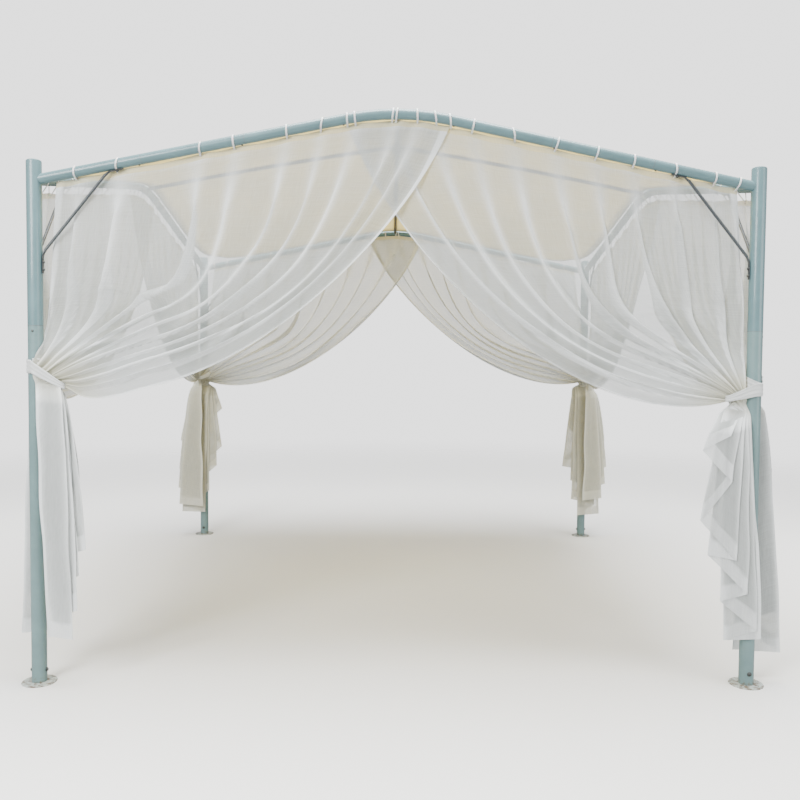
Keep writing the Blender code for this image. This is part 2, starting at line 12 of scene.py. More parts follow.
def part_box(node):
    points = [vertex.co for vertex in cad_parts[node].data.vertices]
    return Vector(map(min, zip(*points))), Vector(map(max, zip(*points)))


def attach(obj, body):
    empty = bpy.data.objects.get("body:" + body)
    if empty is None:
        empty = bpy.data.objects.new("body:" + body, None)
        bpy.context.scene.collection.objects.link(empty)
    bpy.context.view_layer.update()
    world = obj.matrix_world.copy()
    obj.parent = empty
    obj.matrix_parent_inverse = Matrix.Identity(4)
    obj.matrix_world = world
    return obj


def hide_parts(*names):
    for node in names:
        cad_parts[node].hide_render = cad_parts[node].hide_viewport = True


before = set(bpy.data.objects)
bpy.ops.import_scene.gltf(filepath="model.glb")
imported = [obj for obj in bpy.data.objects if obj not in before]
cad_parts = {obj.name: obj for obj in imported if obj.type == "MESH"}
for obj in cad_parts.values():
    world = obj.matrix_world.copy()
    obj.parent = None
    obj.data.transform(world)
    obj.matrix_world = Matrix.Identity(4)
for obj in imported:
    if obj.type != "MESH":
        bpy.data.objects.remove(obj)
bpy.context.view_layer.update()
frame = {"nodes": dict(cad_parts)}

bl_info = {
    "name": "Garden gazebo",
    "version": (1, 0, 0),
    "blender": (4, 5, 0),
    "location": "3D View > Sidebar > Gazebo",
    "description": "Dresses a 3 m garden gazebo with cloth, fittings and finishes",
    "category": "Object",
}

SIDES = ("front", "right", "back", "left")
CORNERS = ("front_left", "front_right", "back_right", "back_left")
HANDS = ("left", "right")

# The frame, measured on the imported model
post_low, post_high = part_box("lower_post_front_left")
HALF_SPAN = -(post_low.x + post_high.x) / 2
POST_RADIUS = (post_high.x - post_low.x) / 2
POST_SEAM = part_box("upper_post_front_left")[0].z
HUB_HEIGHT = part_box("ridge_hub")[1].z - 0.002
RAIL_RADIUS = 0.021
RAIL_HEIGHT_AT_POST = 2.055
RAIL_SLOPE = 0.205
RAIL_ANGLE = math.atan(RAIL_SLOPE)
CROWN_HALF = 0.213
CROWN_RADIUS = CROWN_HALF / math.sin(RAIL_ANGLE)
RIDGE_RADIUS = 0.0095
RIDGE_ARCH = 0.010
RAIL_SEAMS = (0.213, 0.622, 1.036)
BRACE_REACH = 0.330
BRACE_BOLT_HEIGHTS = (1.727, 1.697)
# How far the faces of a brace's pads stand off the post and the rail
POST_PAD = 0.0048
RAIL_PAD = 0.0045
FOOT_BOLT_HEIGHT = 0.052

# How far each screw is from its seam, and turned profiles of the screws, as (radius, distance)
RAIL_SCREW_SHIFT = 0.014
POST_SCREW_DROP = 0.022
RAIL_SCREW = ((0.0042, -0.0006), (0.0043, 0.0012), (0.0030, 0.0030), (0.0008, 0.0036))
POST_SCREW = ((0.0045, -0.0006), (0.0046, 0.0012), (0.0032, 0.0030), (0.0008, 0.0036))

# Photograph's camera, fitted to the posts, rails and back side
CAMERA_PLACE = (-0.0222, -4.7596, 1.3186)
CAMERA_YAW = -0.011
CAMERA_PITCH = -0.0426
CAMERA_ROLL = 0.0078
CAMERA_LENS = 36.126
SENSOR = 36.0
FLOOR_RADIUS = 12.0
FLOOR_FADE = (3.2, 10.0)
# Name, place, target, width and power of each lamp
LAMPS = (
    ("overhead", (0.3, -0.8, 8.0), (0, 0, 1.5), 6.0, 1750.0),
    ("key", (-3.2, -5.8, 3.6), (-0.3, 0, 1.3), 2.6, 430.0),
    ("fill", (6.0, -5.0, 2.5), (0, 0, 1.2), 4.0, 220.0),
)

# Canopy mesh: cells each way, and how far its edges bow in and its corners are cut
CANOPY_CELLS = 110
CANOPY_BOW = 0.015
CORNER_CUT = 0.125
CANOPY_SAG = 0.015
CANOPY_CLEARANCE = 0.0009

# Curtain mesh
COLUMNS = 216
UPPER_ROWS = 100
TAIL_ROWS = 84
# Shares across a curtain, and down its part above the tie
ACROSS = np.linspace(0, 1, COLUMNS)[None, :]
DOWN = np.linspace(0, 1, UPPER_ROWS)[:, None]
# Share of the light that one layer of voile holds back
VOILE_COVER = 0.70
# Where the rings hold each curtain, as shares of its width from the post
RING_PLACES = {
    "left": (0.0, 0.053, 0.158, 0.368, 0.452, 0.586, 0.676, 0.758, 0.865, 0.918, 1.0),
    "right": (0.0, 0.062, 0.162, 0.269, 0.364, 0.466, 0.578, 0.680, 0.775, 0.885, 1.0),
}
RING_WALL = 0.0022
# The eyelet is so far below the curtain's top edge
EYELET_DEPTH = 0.009
# The turns are drawn on the post line. A front tail stands nearer to the eye than that, so its
# points move from the post and up for each metre that it stands out.
LEAN_OUT = 0.44
LEAN_UP = 0.30
# Where each curtain passes under its tie, by side and hand, in mm: distance from the post, width,
# height there, fall across that width, how far from the post its near edge comes down, and how
# much its leading edge sags beside the tie
WAISTS = {
    ("front", "left"): (0, 118, 1298, 74, 60, 29),
    ("front", "right"): (42, 68, 1235, 35, 36, 0),
    ("right", "left"): (55, 60, 1235, 35, 55, 0),
    ("right", "right"): (85, 55, 1235, 35, 85, 0),
    ("back", "left"): (-60, 115, 1235, 35, 36, 0),
    ("back", "right"): (-60, 115, 1235, 35, 36, 0),
    ("left", "left"): (85, 55, 1235, 35, 85, 0),
    ("left", "right"): (55, 60, 1235, 35, 55, 0),
}
# How each tail hangs: the turns that it follows, where it starts, its share of their spread, and
# how far it is moved out and up. On the left and right sides it spreads out from the side, not
# along it.
TAIL_STANCES = {
    ("front", "left"): ("left", -0.005, 1.0, 0.0, 0.0),
    ("front", "right"): ("right", 0.022, 1.0, 0.0, 0.0),
    ("right", "left"): ("panel", 0.045, 1.36, 0.0, -0.022),
    ("right", "right"): ("fan", 0.092, 1.0, 0.0, 0.0),
    ("back", "left"): ("left", -0.070, 1.7, -0.165, 0.0),
    ("back", "right"): ("right", -0.070, 1.15, -0.085, 0.0),
    ("left", "left"): ("wing", 0.092, 1.0, 0.0, 0.0),
    ("left", "right"): ("panel", 0.045, 0.75, 0.0, 0.050),
}
# A tail's turns from the post side to the leading edge, in mm: distance from the post, hem height
TAIL_TURNS = {
    "left": ((30, 190), (130, 176), (50, 262), (156, 300), (58, 385), (160, 445), (78, 520),
             (194, 552), (90, 700), (168, 850), (105, 1020)),
    "right": ((-60, 190), (98, 185), (-40, 226), (120, 350), (0, 380), (175, 545), (54, 520),
              (204, 690), (78, 850), (203, 980), (85, 1040)),
    "panel": ((-30, 150), (127, 135), (-20, 255), (112, 310), (-10, 420), (100, 500), (0, 640),
              (85, 780), (0, 900), (60, 1000), (5, 1060)),
    "fan": ((-20, 300), (120, 320), (0, 380), (150, 430), (10, 480), (166, 560), (20, 640),
            (150, 760), (20, 860), (110, 960), (20, 1040)),
    "wing": ((-20, 240), (160, 255), (0, 340), (166, 380), (10, 460), (160, 520), (20, 640),
             (150, 740), (20, 860), (110, 960), (20, 1040)),
}

# Each tie's height on its post, its step down on the second turn, its slope to the curtains, and
# the bundles that it goes round beside the post: place and radius
SIDE_BUNDLES = ((0.068, -0.014, 0.022), (0.102, -0.012, 0.019),
                (-0.014, 0.068, 0.020), (-0.012, 0.102, 0.019))
BACK_BUNDLES = ((-0.042, 0.058, 0.018), (0.038, 0.060, 0.018),
                (-0.012, 0.100, 0.019), (-0.014, 0.126, 0.017))
TIES = {
    "front_left": (1.310, 0.006, 0.66, ((0.014, -0.030, 0.022), *SIDE_BUNDLES)),
    "front_right": (1.262, 0.030, 0.32, ((0.050, -0.012, 0.020), *SIDE_BUNDLES)),
    "back_right": (1.270, 0.010, 0.40, BACK_BUNDLES),
    "back_left": (1.290, 0.010, 0.50, tuple((y, x, radius) for x, y, radius in BACK_BUNDLES)),
}
# Half its height on the post, and how much of that it loses up to its reach along the curtains
TIE_HALF = 0.027
TIE_NARROWING = 0.015
TIE_REACH = 0.123


def linear(code):
    """An sRGB hex colour as linear red, green, blue."""
    channels = [int(code[i:i + 2], 16) / 255 for i in (0, 2, 4)]
    return [c / 12.92 if c <= 0.04045 else ((c + 0.055) / 1.055) ** 2.4 for c in channels]


def colour(name, description, code):
    return FloatVectorProperty(name=name, description=description, default=linear(code), size=3,
                               min=0.0, max=1.0, subtype="COLOR")


def length(name, description, default):
    return FloatProperty(name=name, description=description, default=default, min=0.0,
                         unit="LENGTH", subtype="DISTANCE")


class GazeboColours(bpy.types.PropertyGroup):
    """Colours of the gazebo's finishes."""
    frame: colour("Frame", "Powder coat on posts and rails", "65858A")
    brace: colour("Brace", "Paint on the brace rods", "43494C")
    ridge: colour("Ridge", "Paint on the ridge tubes and hub", "5C564C")
    canopy: colour("Canopy", "Woven roof cloth", "F4E9BC")
    tape: colour("Canopy tape", "Tape on the roof cloth's edge and seams", "F1EBD2")
    # The lower posts' coat is lighter than that of the upper posts
    lower_post: colour("Lower post", "Chalked coat on the lower posts", "759192")
    voile: colour("Curtain", "Sheer curtain cloth where it lies double", "EEF2F2")
    # Painted shade: cloth in one layer is greyer, as if shade lay behind it
    voile_thin_shade: colour("Curtain, single", "Sheer curtain cloth in one layer", "C1C6C4")
    # Painted shade: cloth at the ties and in the tails beside the back posts is darker and creamier
    voile_shade: colour("Curtain, pressed", "The same where many layers press together", "CDC9AE")
    heading: colour("Heading tape", "Tape along the curtain's top edge", "DAD4B4")
    strap: colour("Tie", "Tieback cloth", "EEF1F0")
    foot: colour("Foot", "Chalked coat on the base flanges", "BCC4BF")
    ring: colour("Ring", "Curtain rings", "F2F2F0")
    steel: colour("Fastener", "Plated bolts and screws", "5B5E5C")
    floor: colour("Floor", "Pale studio floor", "F4F4F2")


class GazeboSizes(bpy.types.PropertyGroup):
    """Sizes of the gazebo's cloth and fittings."""
    heading_drop: length("Heading drop", "Rail centre to the curtain's top edge", 0.021)
    side_drop: length("Side heading drop", "The same on the left and right sides", 0.050)
    heading_start: length("Heading start", "Post centre to the curtain's first ring", 0.085)
    heading_end: length("Heading end", "Post centre to the curtain's last ring", 1.678)
    cloth_width: length("Curtain width", "Flat width of a curtain", 1.68)
    hem: length("Hem", "Depth of the curtain's bottom hem", 0.062)
    side_hem: length("Side hem", "Width of the curtain's side hem", 0.034)
    ring_band: length("Ring band", "Width of a curtain ring's band", 0.0080)
    canopy_half: length("Canopy half", "Middle of the roof to its edge", 1.445)
    bolt_head: length("Bolt head", "Radius of a bolt head", 0.0065)
    wrinkles: IntProperty(name="Wrinkles", description="Small wrinkles across a curtain",
                          default=18, min=0)


class GazeboSettings(bpy.types.PropertyGroup):
    """Everything a user may change."""
    colours: PointerProperty(type=GazeboColours)
    sizes: PointerProperty(type=GazeboSizes)


# Shapes

def smooth(low, high, x):
    """0 below low, 1 above high, and an eased step between."""
    t = np.clip((x - low) / (high - low), 0, 1)
    return t * t * (3 - 2 * t)


def value_noise(rng, u, v, across, down):
    """Noise from -1 to 1 over a unit square, with so many cells across and down."""
    table = rng.uniform(-1, 1, (down + 2, across + 2))
    x, y = np.clip(u, 0, 1) * across, np.clip(v, 0, 1) * down
    i, j = np.floor(x).astype(int), np.floor(y).astype(int)
    fx, fy = smooth(0, 1, x - i), smooth(0, 1, y - j)
    top = table[j, i] * (1 - fx) + table[j, i + 1] * fx
    bottom = table[j + 1, i] * (1 - fx) + table[j + 1, i + 1] * fx
    return top * (1 - fy) + bottom * fy


def rail_height(x):
    """Height of a rail's centre line at a distance from the middle of its side."""
    x = np.abs(np.asarray(x, float))
    straight = RAIL_HEIGHT_AT_POST + RAIL_SLOPE * (HALF_SPAN - x)
    crown_base = RAIL_HEIGHT_AT_POST + RAIL_SLOPE * (HALF_SPAN - CROWN_HALF)
    bend = np.sqrt(np.maximum(CROWN_RADIUS ** 2 - x ** 2, 0)) - CROWN_RADIUS * math.cos(RAIL_ANGLE)
    return np.where(x >= CROWN_HALF, straight, crown_base + bend)


def ridge_height(distance):
    """Height of a ridge tube's centre line at a distance from the middle of the roof."""
    t = distance / HALF_SPAN
    return HUB_HEIGHT + (rail_height(0) - HUB_HEIGHT) * t + 4 * RIDGE_ARCH * t * (1 - t)


def on_side(points, side):
    """Points (along a side, out from the middle, up), turned to the side of that number."""
    points = np.asarray(points, float)
    x, y = points[..., 0], -points[..., 1]
    cos, sin = ((1, 0), (0, 1), (-1, 0), (0, -1))[side]
    return np.stack([x * cos - y * sin, x * sin + y * cos, points[..., 2]], -1)


def grid_faces(rows, columns, closed_rows=False, closed_columns=False):
    """Quads over a grid of points, which may close on itself either way."""
    down = rows if closed_rows else rows - 1
    across = columns if closed_columns else columns - 1
    i, j = np.meshgrid(np.arange(down), np.arange(across), indexing="ij")
    k, m = (i + 1) % rows, (j + 1) % columns
    corners = [i * columns + j, i * columns + m, k * columns + m, k * columns + j]
    return np.stack(corners, -1).reshape(-1, 4).tolist()


def new_piece(name, points, faces, finish):
    """A smooth mesh in the scene that rides the frame."""
    mesh = bpy.data.meshes.new(name)
    mesh.from_pydata(points, [], faces)
    mesh.materials.append(finish)
    mesh.shade_smooth()
    piece = bpy.data.objects.new(name, mesh)
    bpy.context.scene.collection.objects.link(piece)
    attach(piece, "root")
    return piece


def thicken(piece, thickness):
    change = piece.modifiers.new("cloth_thickness", "SOLIDIFY")
    change.thickness = thickness
    change.offset = 1.0


class Shape:
    """Points and faces gathered from several small parts of the four sides."""

    def __init__(self):
        self.points = []
        self.faces = []
        self.count = 0

    def add(self, points, side, form="tube"):
        """Add rows of points: a capped tube, a ring that closes both ways, or a sheet."""
        points = on_side(points, side)
        rows, columns = points.shape[:2]
        faces = grid_faces(rows, columns, form == "ring", form != "sheet")
        if form == "tube":
            last = (rows - 1) * columns
            faces += [list(range(columns))[::-1], list(range(last, last + columns))]
        self.faces += [[i + self.count for i in face] for face in faces]
        self.points.append(points.reshape(-1, 3))
        self.count += rows * columns

    def make(self, name, finish, slot):
        """The gathered mesh as one piece, with edges over 40 degrees sharp."""
        piece = new_piece(name, np.concatenate(self.points), self.faces, finish)
        piece.data.set_sharp_from_angle(angle=math.radians(40))
        return piece


def turned(profile, place, axis, steps=16):
    """A profile of (radius, distance) turned round an axis from a place."""
    axis = np.asarray(Vector(axis).normalized())
    across = np.asarray(Vector(axis).orthogonal().normalized())
    third = np.cross(axis, across)
    angles = np.linspace(0, math.tau, steps, endpoint=False)
    rim = np.outer(np.cos(angles), across) + np.outer(np.sin(angles), third)
    return np.array([np.asarray(place) + axis * distance + rim * radius
                     for radius, distance in profile])


def bolt(place, axis, radius, height):
    """A domed bolt head on its washer."""
    washer = [(radius * 1.45, -0.0005), (radius * 1.5, 0.0004), (radius * 1.4, 0.0012)]
    head = [(radius, 0.0013), (radius, height * 0.55), (radius * 0.82, height * 0.86),
            (radius * 0.45, height), (radius * 0.38, height), (radius * 0.34, height * 0.6)]
    return turned(washer + head, place, axis)


def seam(radius, half, place, axis, steps):
    """The low band that shows where two tubes meet."""
    soft, rise, sunk = 0.0003, radius + 0.0005, radius - 0.0003
    band = ((sunk, -half), (rise, soft - half), (rise, half - soft), (sunk, half))
    return turned(band, place, axis, steps)


# Finishes

def add_node(tree, kind, inputs=None, **settings):
    """Add a node; a shader node's kind is named without ShaderNode, and a Mix mixes colours.

    An input takes a number, a colour, an output, or a node for its first output in use.
    """
    made = tree.nodes.new(kind if "Node" in kind else "ShaderNode" + kind)
    if kind == "Mix":
        made.data_type = "RGBA"
    for name, value in settings.items():
        setattr(made, name, value)
    for name, value in (inputs or {}).items():
        if isinstance(value, bpy.types.Node):
            value = next(output for output in value.outputs if output.enabled)
        if isinstance(value, bpy.types.NodeSocket):
            tree.links.new(value, made.inputs[name])
        else:
            made.inputs[name].default_value = value
    return made


def new_finish(name):
    """An empty material, and the function that adds a node to it."""
    finish = bpy.data.materials.new(name)
    finish.use_nodes = True
    finish.node_tree.nodes.clear()
    return finish, partial(add_node, finish.node_tree)


def rgba(rgb, gain=1.0):
    return (*[min(1.0, c * gain) for c in rgb], 1.0)


def painted_steel(name, rgb, roughness, dirt_height=0.0):
    """Powder-coated steel tube: an even, slightly pebbled satin skin that greys in patches."""
    finish, add = new_finish(name)
    place = add("TexCoord").outputs["Object"]
    # Patches of weathering about 120 mm across
    patches = add("TexNoise", {"Vector": place, "Scale": 8.0, "Detail": 6.0, "Roughness": 0.6})
    skin = add("ValToRGB", {"Fac": patches})
    for stop, position, gain in zip(skin.color_ramp.elements, (0.30, 0.72), (0.86, 1.10)):
        stop.position, stop.color = position, rgba(rgb, gain)
    # Dust specks about 4 mm across
    specks = add("TexNoise", {"Vector": place, "Scale": 250.0, "Detail": 2.0})
    dusty = add("MapRange", {"Value": specks, "From Min": 0.60, "From Max": 0.75, "To Max": 0.35})
    skin = add("Mix", {0: dusty, 6: skin, 7: rgba(linear("8E948C"))})
    if dirt_height:
        height = add("SeparateXYZ", {"Vector": place}).outputs["Z"]
        low = add("MapRange", {
            "Value": height, "From Max": dirt_height, "To Min": 1.0, "To Max": 0.0})
        # Splashes of soil and rust 15 to 40 mm across
        splash = add("TexNoise", {"Vector": place, "Scale": 45.0, "Detail": 8.0, "Roughness": 0.7})
        cut = add("MapRange", {"Value": splash, "From Min": 0.46, "From Max": 0.58})
        amount = add("Math", {0: low, 1: cut}, operation="MULTIPLY")
        rusty = add("Mix", {0: splash.outputs["Color"], 6: rgba(linear("3F3C2E")),
                            7: rgba(linear("82694A"))})
        skin = add("Mix", {0: amount, 6: skin, 7: rusty})
    rough = add("MapRange", {
        "Value": patches, "To Min": roughness - 0.08, "To Max": roughness + 0.10})
    # Orange peel of a powder coat, about 1.5 mm, drawn at 3 mm so that it shows
    peel = add("TexNoise", {"Vector": place, "Scale": 330.0, "Detail": 1.0})
    bump = add("Bump", {"Height": peel, "Strength": 0.25, "Distance": 0.0004})
    shader = add("BsdfPrincipled", {
        "Base Color": skin, "Roughness": rough, "Normal": bump, "Coat Weight": 0.3})
    add("OutputMaterial", {"Surface": shader})
    return finish


def plated_steel(name, rgb):
    """Zinc-plated screws: dull metal, tarnished in small patches."""
    finish, add = new_finish(name)
    place = add("TexCoord").outputs["Object"]
    tarnish = add("TexNoise", {"Vector": place, "Scale": 300.0, "Detail": 4.0})
    tone = add("Mix", {0: tarnish, 6: rgba(rgb, 0.6), 7: rgba(rgb, 1.5)})
    rough = add("MapRange", {"Value": tarnish, "To Min": 0.35, "To Max": 0.65})
    shader = add("BsdfPrincipled", {"Base Color": tone, "Metallic": 0.8, "Roughness": rough})
    add("OutputMaterial", {"Surface": shader})
    return finish


def moulded_nylon(name, rgb):
    """Moulded nylon rings: waxy white with a soft shine."""
    finish, add = new_finish(name)
    place = add("TexCoord").outputs["Object"]
    grime = add("TexNoise", {"Vector": place, "Scale": 90.0, "Detail": 3.0})
    tone = add("Mix", {0: grime, 6: rgba(rgb, 0.88), 7: rgba(rgb, 1.02)})
    shader = add("BsdfPrincipled", {
        "Base Color": tone, "Roughness": 0.38, "IOR": 1.53, "Subsurface Weight": 0.2,
        "Subsurface Scale": 0.002})
    add("OutputMaterial", {"Surface": shader})
    return finish


def weave(add, cloth, spacing):
    """Height of a plain weave: warp and weft threads so far apart, in metres."""
    threads = [add("TexWave", {
        "Vector": cloth, "Scale": 0.5 / spacing, "Distortion": 0.6, "Detail": 1.0,
        "Detail Scale": 0.4}, bands_direction=way, wave_profile="SIN").outputs["Fac"]
        for way in "XY"]
    return add("Math", {0: threads[0], 1: threads[1]}, operation="ADD")


def sheer_voile(name, colours):
    """Polyester voile: open, slubby, soft sheen; whiter where it lies double; painted shade makes
    single cloth grey, and cloth at the ties and back tails creamy.
    """
    finish, add = new_finish(name)
    cloth = add("UVMap", uv_map="cloth").outputs["UV"]
    layers, piled_shade, pressed_shade = [
        add("Attribute", attribute_name=share).outputs["Fac"]
        for share in ("layers", "piled_shade", "pressed_shade")]
    # Slubs: thicker stretches of yarn 2 mm wide and 60 mm long, and finer ones across them
    yarns = []
    for stretch in ((420.0, 16.0, 1.0), (12.0, 300.0, 1.0)):
        stretched = add("Mapping", {"Vector": cloth, "Scale": stretch})
        yarns.append(add("TexNoise", {"Vector": stretched, "Scale": 1.0, "Detail": 3.0}))
    yarn = add("Math", {0: yarns[0], 1: yarns[1]}, operation="ADD")
    hole = add("MapRange", {
        "Value": yarn, "From Min": 0.6, "From Max": 1.4, "To Min": 1.0 - VOILE_COVER + 0.13,
        "To Max": 1.0 - VOILE_COVER - 0.13})
    seen = add("Math", {0: hole, 1: layers}, operation="POWER")
    cover = add("Math", {0: 1.0, 1: seen}, operation="SUBTRACT", use_clamp=True)
    tone = add("MapRange", {"Value": yarn, "From Min": 0.6, "From Max": 1.4})
    white = add("Mix", {0: tone, 6: rgba(colours.voile, 0.93), 7: rgba(colours.voile, 1.03)})
    # Painted shade: cloth in one layer turns grey, and heaped folds stay white
    heaped = add("Math", {0: piled_shade, 1: layers}, operation="MULTIPLY")
    double = add("MapRange", {"Value": heaped, "From Min": 0.65, "From Max": 2.3})
    dyed = add("Mix", {0: double, 6: rgba(colours.voile_thin_shade), 7: white})
    # Painted shade: darker, creamier cloth at the ties and in the tails beside the back posts
    dyed = add("Mix", {0: pressed_shade, 6: dyed, 7: rgba(colours.voile_shade)})
    # Tape 24 mm wide, sewn along the top edge
    down = add("SeparateXYZ", {"Vector": cloth}).outputs["Y"]
    taped = add("MapRange", {"Value": down, "From Min": -0.025, "From Max": -0.023})
    dyed = add("Mix", {0: taped, 6: dyed, 7: rgba(colours.heading)})
    # Threads are 0.3 mm apart; drawn 3 mm apart, because finer would not show
    height = weave(add, cloth, 0.003)
    bump = add("Bump", {"Height": height, "Strength": 0.25, "Distance": 0.0004})
    shader = add("BsdfPrincipled", {
        "Base Color": dyed, "Roughness": 0.75, "Sheen Weight": 0.25, "Sheen Roughness": 0.4,
        "Alpha": cover, "Normal": bump})
    add("OutputMaterial", {"Surface": shader})
    return finish


def woven_cloth(name, rgb, through, spacing, stain=0.0, folded=False):
    """Woven polyester: dull, evenly threaded, lit through from behind; tape is folded double."""
    finish, add = new_finish(name)
    if folded:
        cloth, layers = add("TexCoord").outputs["Object"], 2.0
    else:
        cloth = add("UVMap", uv_map="cloth").outputs["UV"]
        layers = add("Attribute", attribute_name="layers").outputs["Fac"]
    # Water marks and fading 200 to 500 mm across
    marks = add("TexNoise", {"Vector": cloth, "Scale": 3.0, "Detail": 7.0, "Roughness": 0.62})
    faded = add("MapRange", {"Value": marks, "From Min": 0.35, "From Max": 0.65})
    tone = add("Mix", {0: faded, 6: rgba(rgb, 1.0 - stain), 7: rgba(rgb, 1.0 + stain / 3)})
    doubled = add("MapRange", {
        "Value": layers, "From Min": 1.0, "From Max": 3.0, "To Min": through,
        "To Max": through * 0.4})
    height = weave(add, cloth, spacing)
    bump = add("Bump", {"Height": height, "Strength": 0.3, "Distance": 0.0005})
    front = add("BsdfPrincipled", {
        "Base Color": tone, "Roughness": 0.85, "Sheen Weight": 0.15, "Normal": bump})
    back = add("BsdfTranslucent", {"Color": tone, "Normal": bump})
    both = add("MixShader", {0: doubled, 1: front, 2: back})
    add("OutputMaterial", {"Surface": both})
    return finish


def studio_floor(name, rgb):
    """Matt painted floor, almost white, with a faint trowelled mottle."""
    finish, add = new_finish(name)
    place = add("TexCoord").outputs["Object"]
    mottle = add("TexNoise", {"Vector": place, "Scale": 2.0, "Detail": 3.0})
    tone = add("Mix", {0: mottle, 6: rgba(rgb, 0.99), 7: rgba(rgb, 1.01)})
    # It throws back less light than it shows, so that undersides stay in shade
    seen = add("LightPath").outputs["Is Camera Ray"]
    tone = add("Mix", {0: seen, 6: rgba(rgb, 0.38), 7: tone})
    distance = add("VectorMath", {0: place}, operation="LENGTH")
    kept = add("MapRange", {
        "Value": distance, "From Min": FLOOR_FADE[0], "From Max": FLOOR_FADE[1], "To Min": 1.0,
        "To Max": 0.0}, interpolation_type="SMOOTHSTEP")
    shader = add("BsdfPrincipled", {
        "Base Color": tone, "Roughness": 0.9, "Specular IOR Level": 0.1, "Alpha": kept})
    add("OutputMaterial", {"Surface": shader})
    return finish


def cloth_object(name, points, cloth, shares, finish):
    """A sheet over a grid of points, with its flat place in metres and its stored shares."""
    piece = new_piece(name, points.reshape(-1, 3), grid_faces(*points.shape[:2]), finish)
    mesh = piece.data
    corners = np.zeros(len(mesh.loops), np.int32)
    mesh.loops.foreach_get("vertex_index", corners)
    mesh.uv_layers.new(name="cloth").data.foreach_set(
        "uv", cloth.reshape(-1, 2)[corners].astype(np.float32).ravel())
    for share, values in shares.items():
        stored = mesh.attributes.new(share, "FLOAT", "POINT")
        stored.data.foreach_set("value", values.astype(np.float32).ravel())
    return piece


# Curtains

def bezier(a, b, c, d, t):
    s = 1 - t
    return s ** 3 * a + 3 * s * s * t * b + 3 * s * t * t * c + t ** 3 * d


def drape(u, t, sizes, drop, waist, lower):
    """Distance from the post and height on the drawn-back upper part of a curtain."""
    near, width, high, fall, edge, sag = waist
    start = sizes.heading_start + u * (sizes.heading_end - sizes.heading_start)
    top = rail_height(start - HALF_SPAN) - drop
    waist_x, waist_z = near + width * u, high - fall * u - 0.3 * lower
    pull = edge + 1.637 * u - 1.021 * u * u
    x = bezier(start, start - 0.03 - 0.186 * u, pull, waist_x, t)
    z = bezier(top, top - 0.27 - 1.919 * u + 1.674 * u * u - lower * u,
               1.535 + 0.75 * u - 1.209 * u * u - lower * (u + 0.3), waist_z, t)
    return x, z - sag * smooth(0.5, 1, u) * smooth(0.80, 0.93, t) * smooth(1.0, 0.95, t)


def piled_up(shifted):
    """How much cloth lies at each point of each row, where 1 is one even layer; it sets the voile's
    painted shade.
    """
    bins = 320
    fine = np.linspace(0, COLUMNS - 1, COLUMNS * 8)
    centres = (np.arange(bins) + 0.5) / bins
    piled_shade = np.zeros_like(shifted)
    for i, row in enumerate(shifted):
        spread = np.interp(fine, np.arange(COLUMNS), row)
        amount = np.histogram(spread, bins=bins, range=(0, 1))[0] * bins / len(fine)
        # Folds are soft near the rail and crisp near the tie
        blur = np.hanning(2 * (3 + round(8 * (1 - i / len(shifted)) ** 2)) + 1)
        amount = np.convolve(amount, blur / blur.sum(), "same")
        piled_shade[i] = np.interp(row, centres, amount)
    return piled_shade


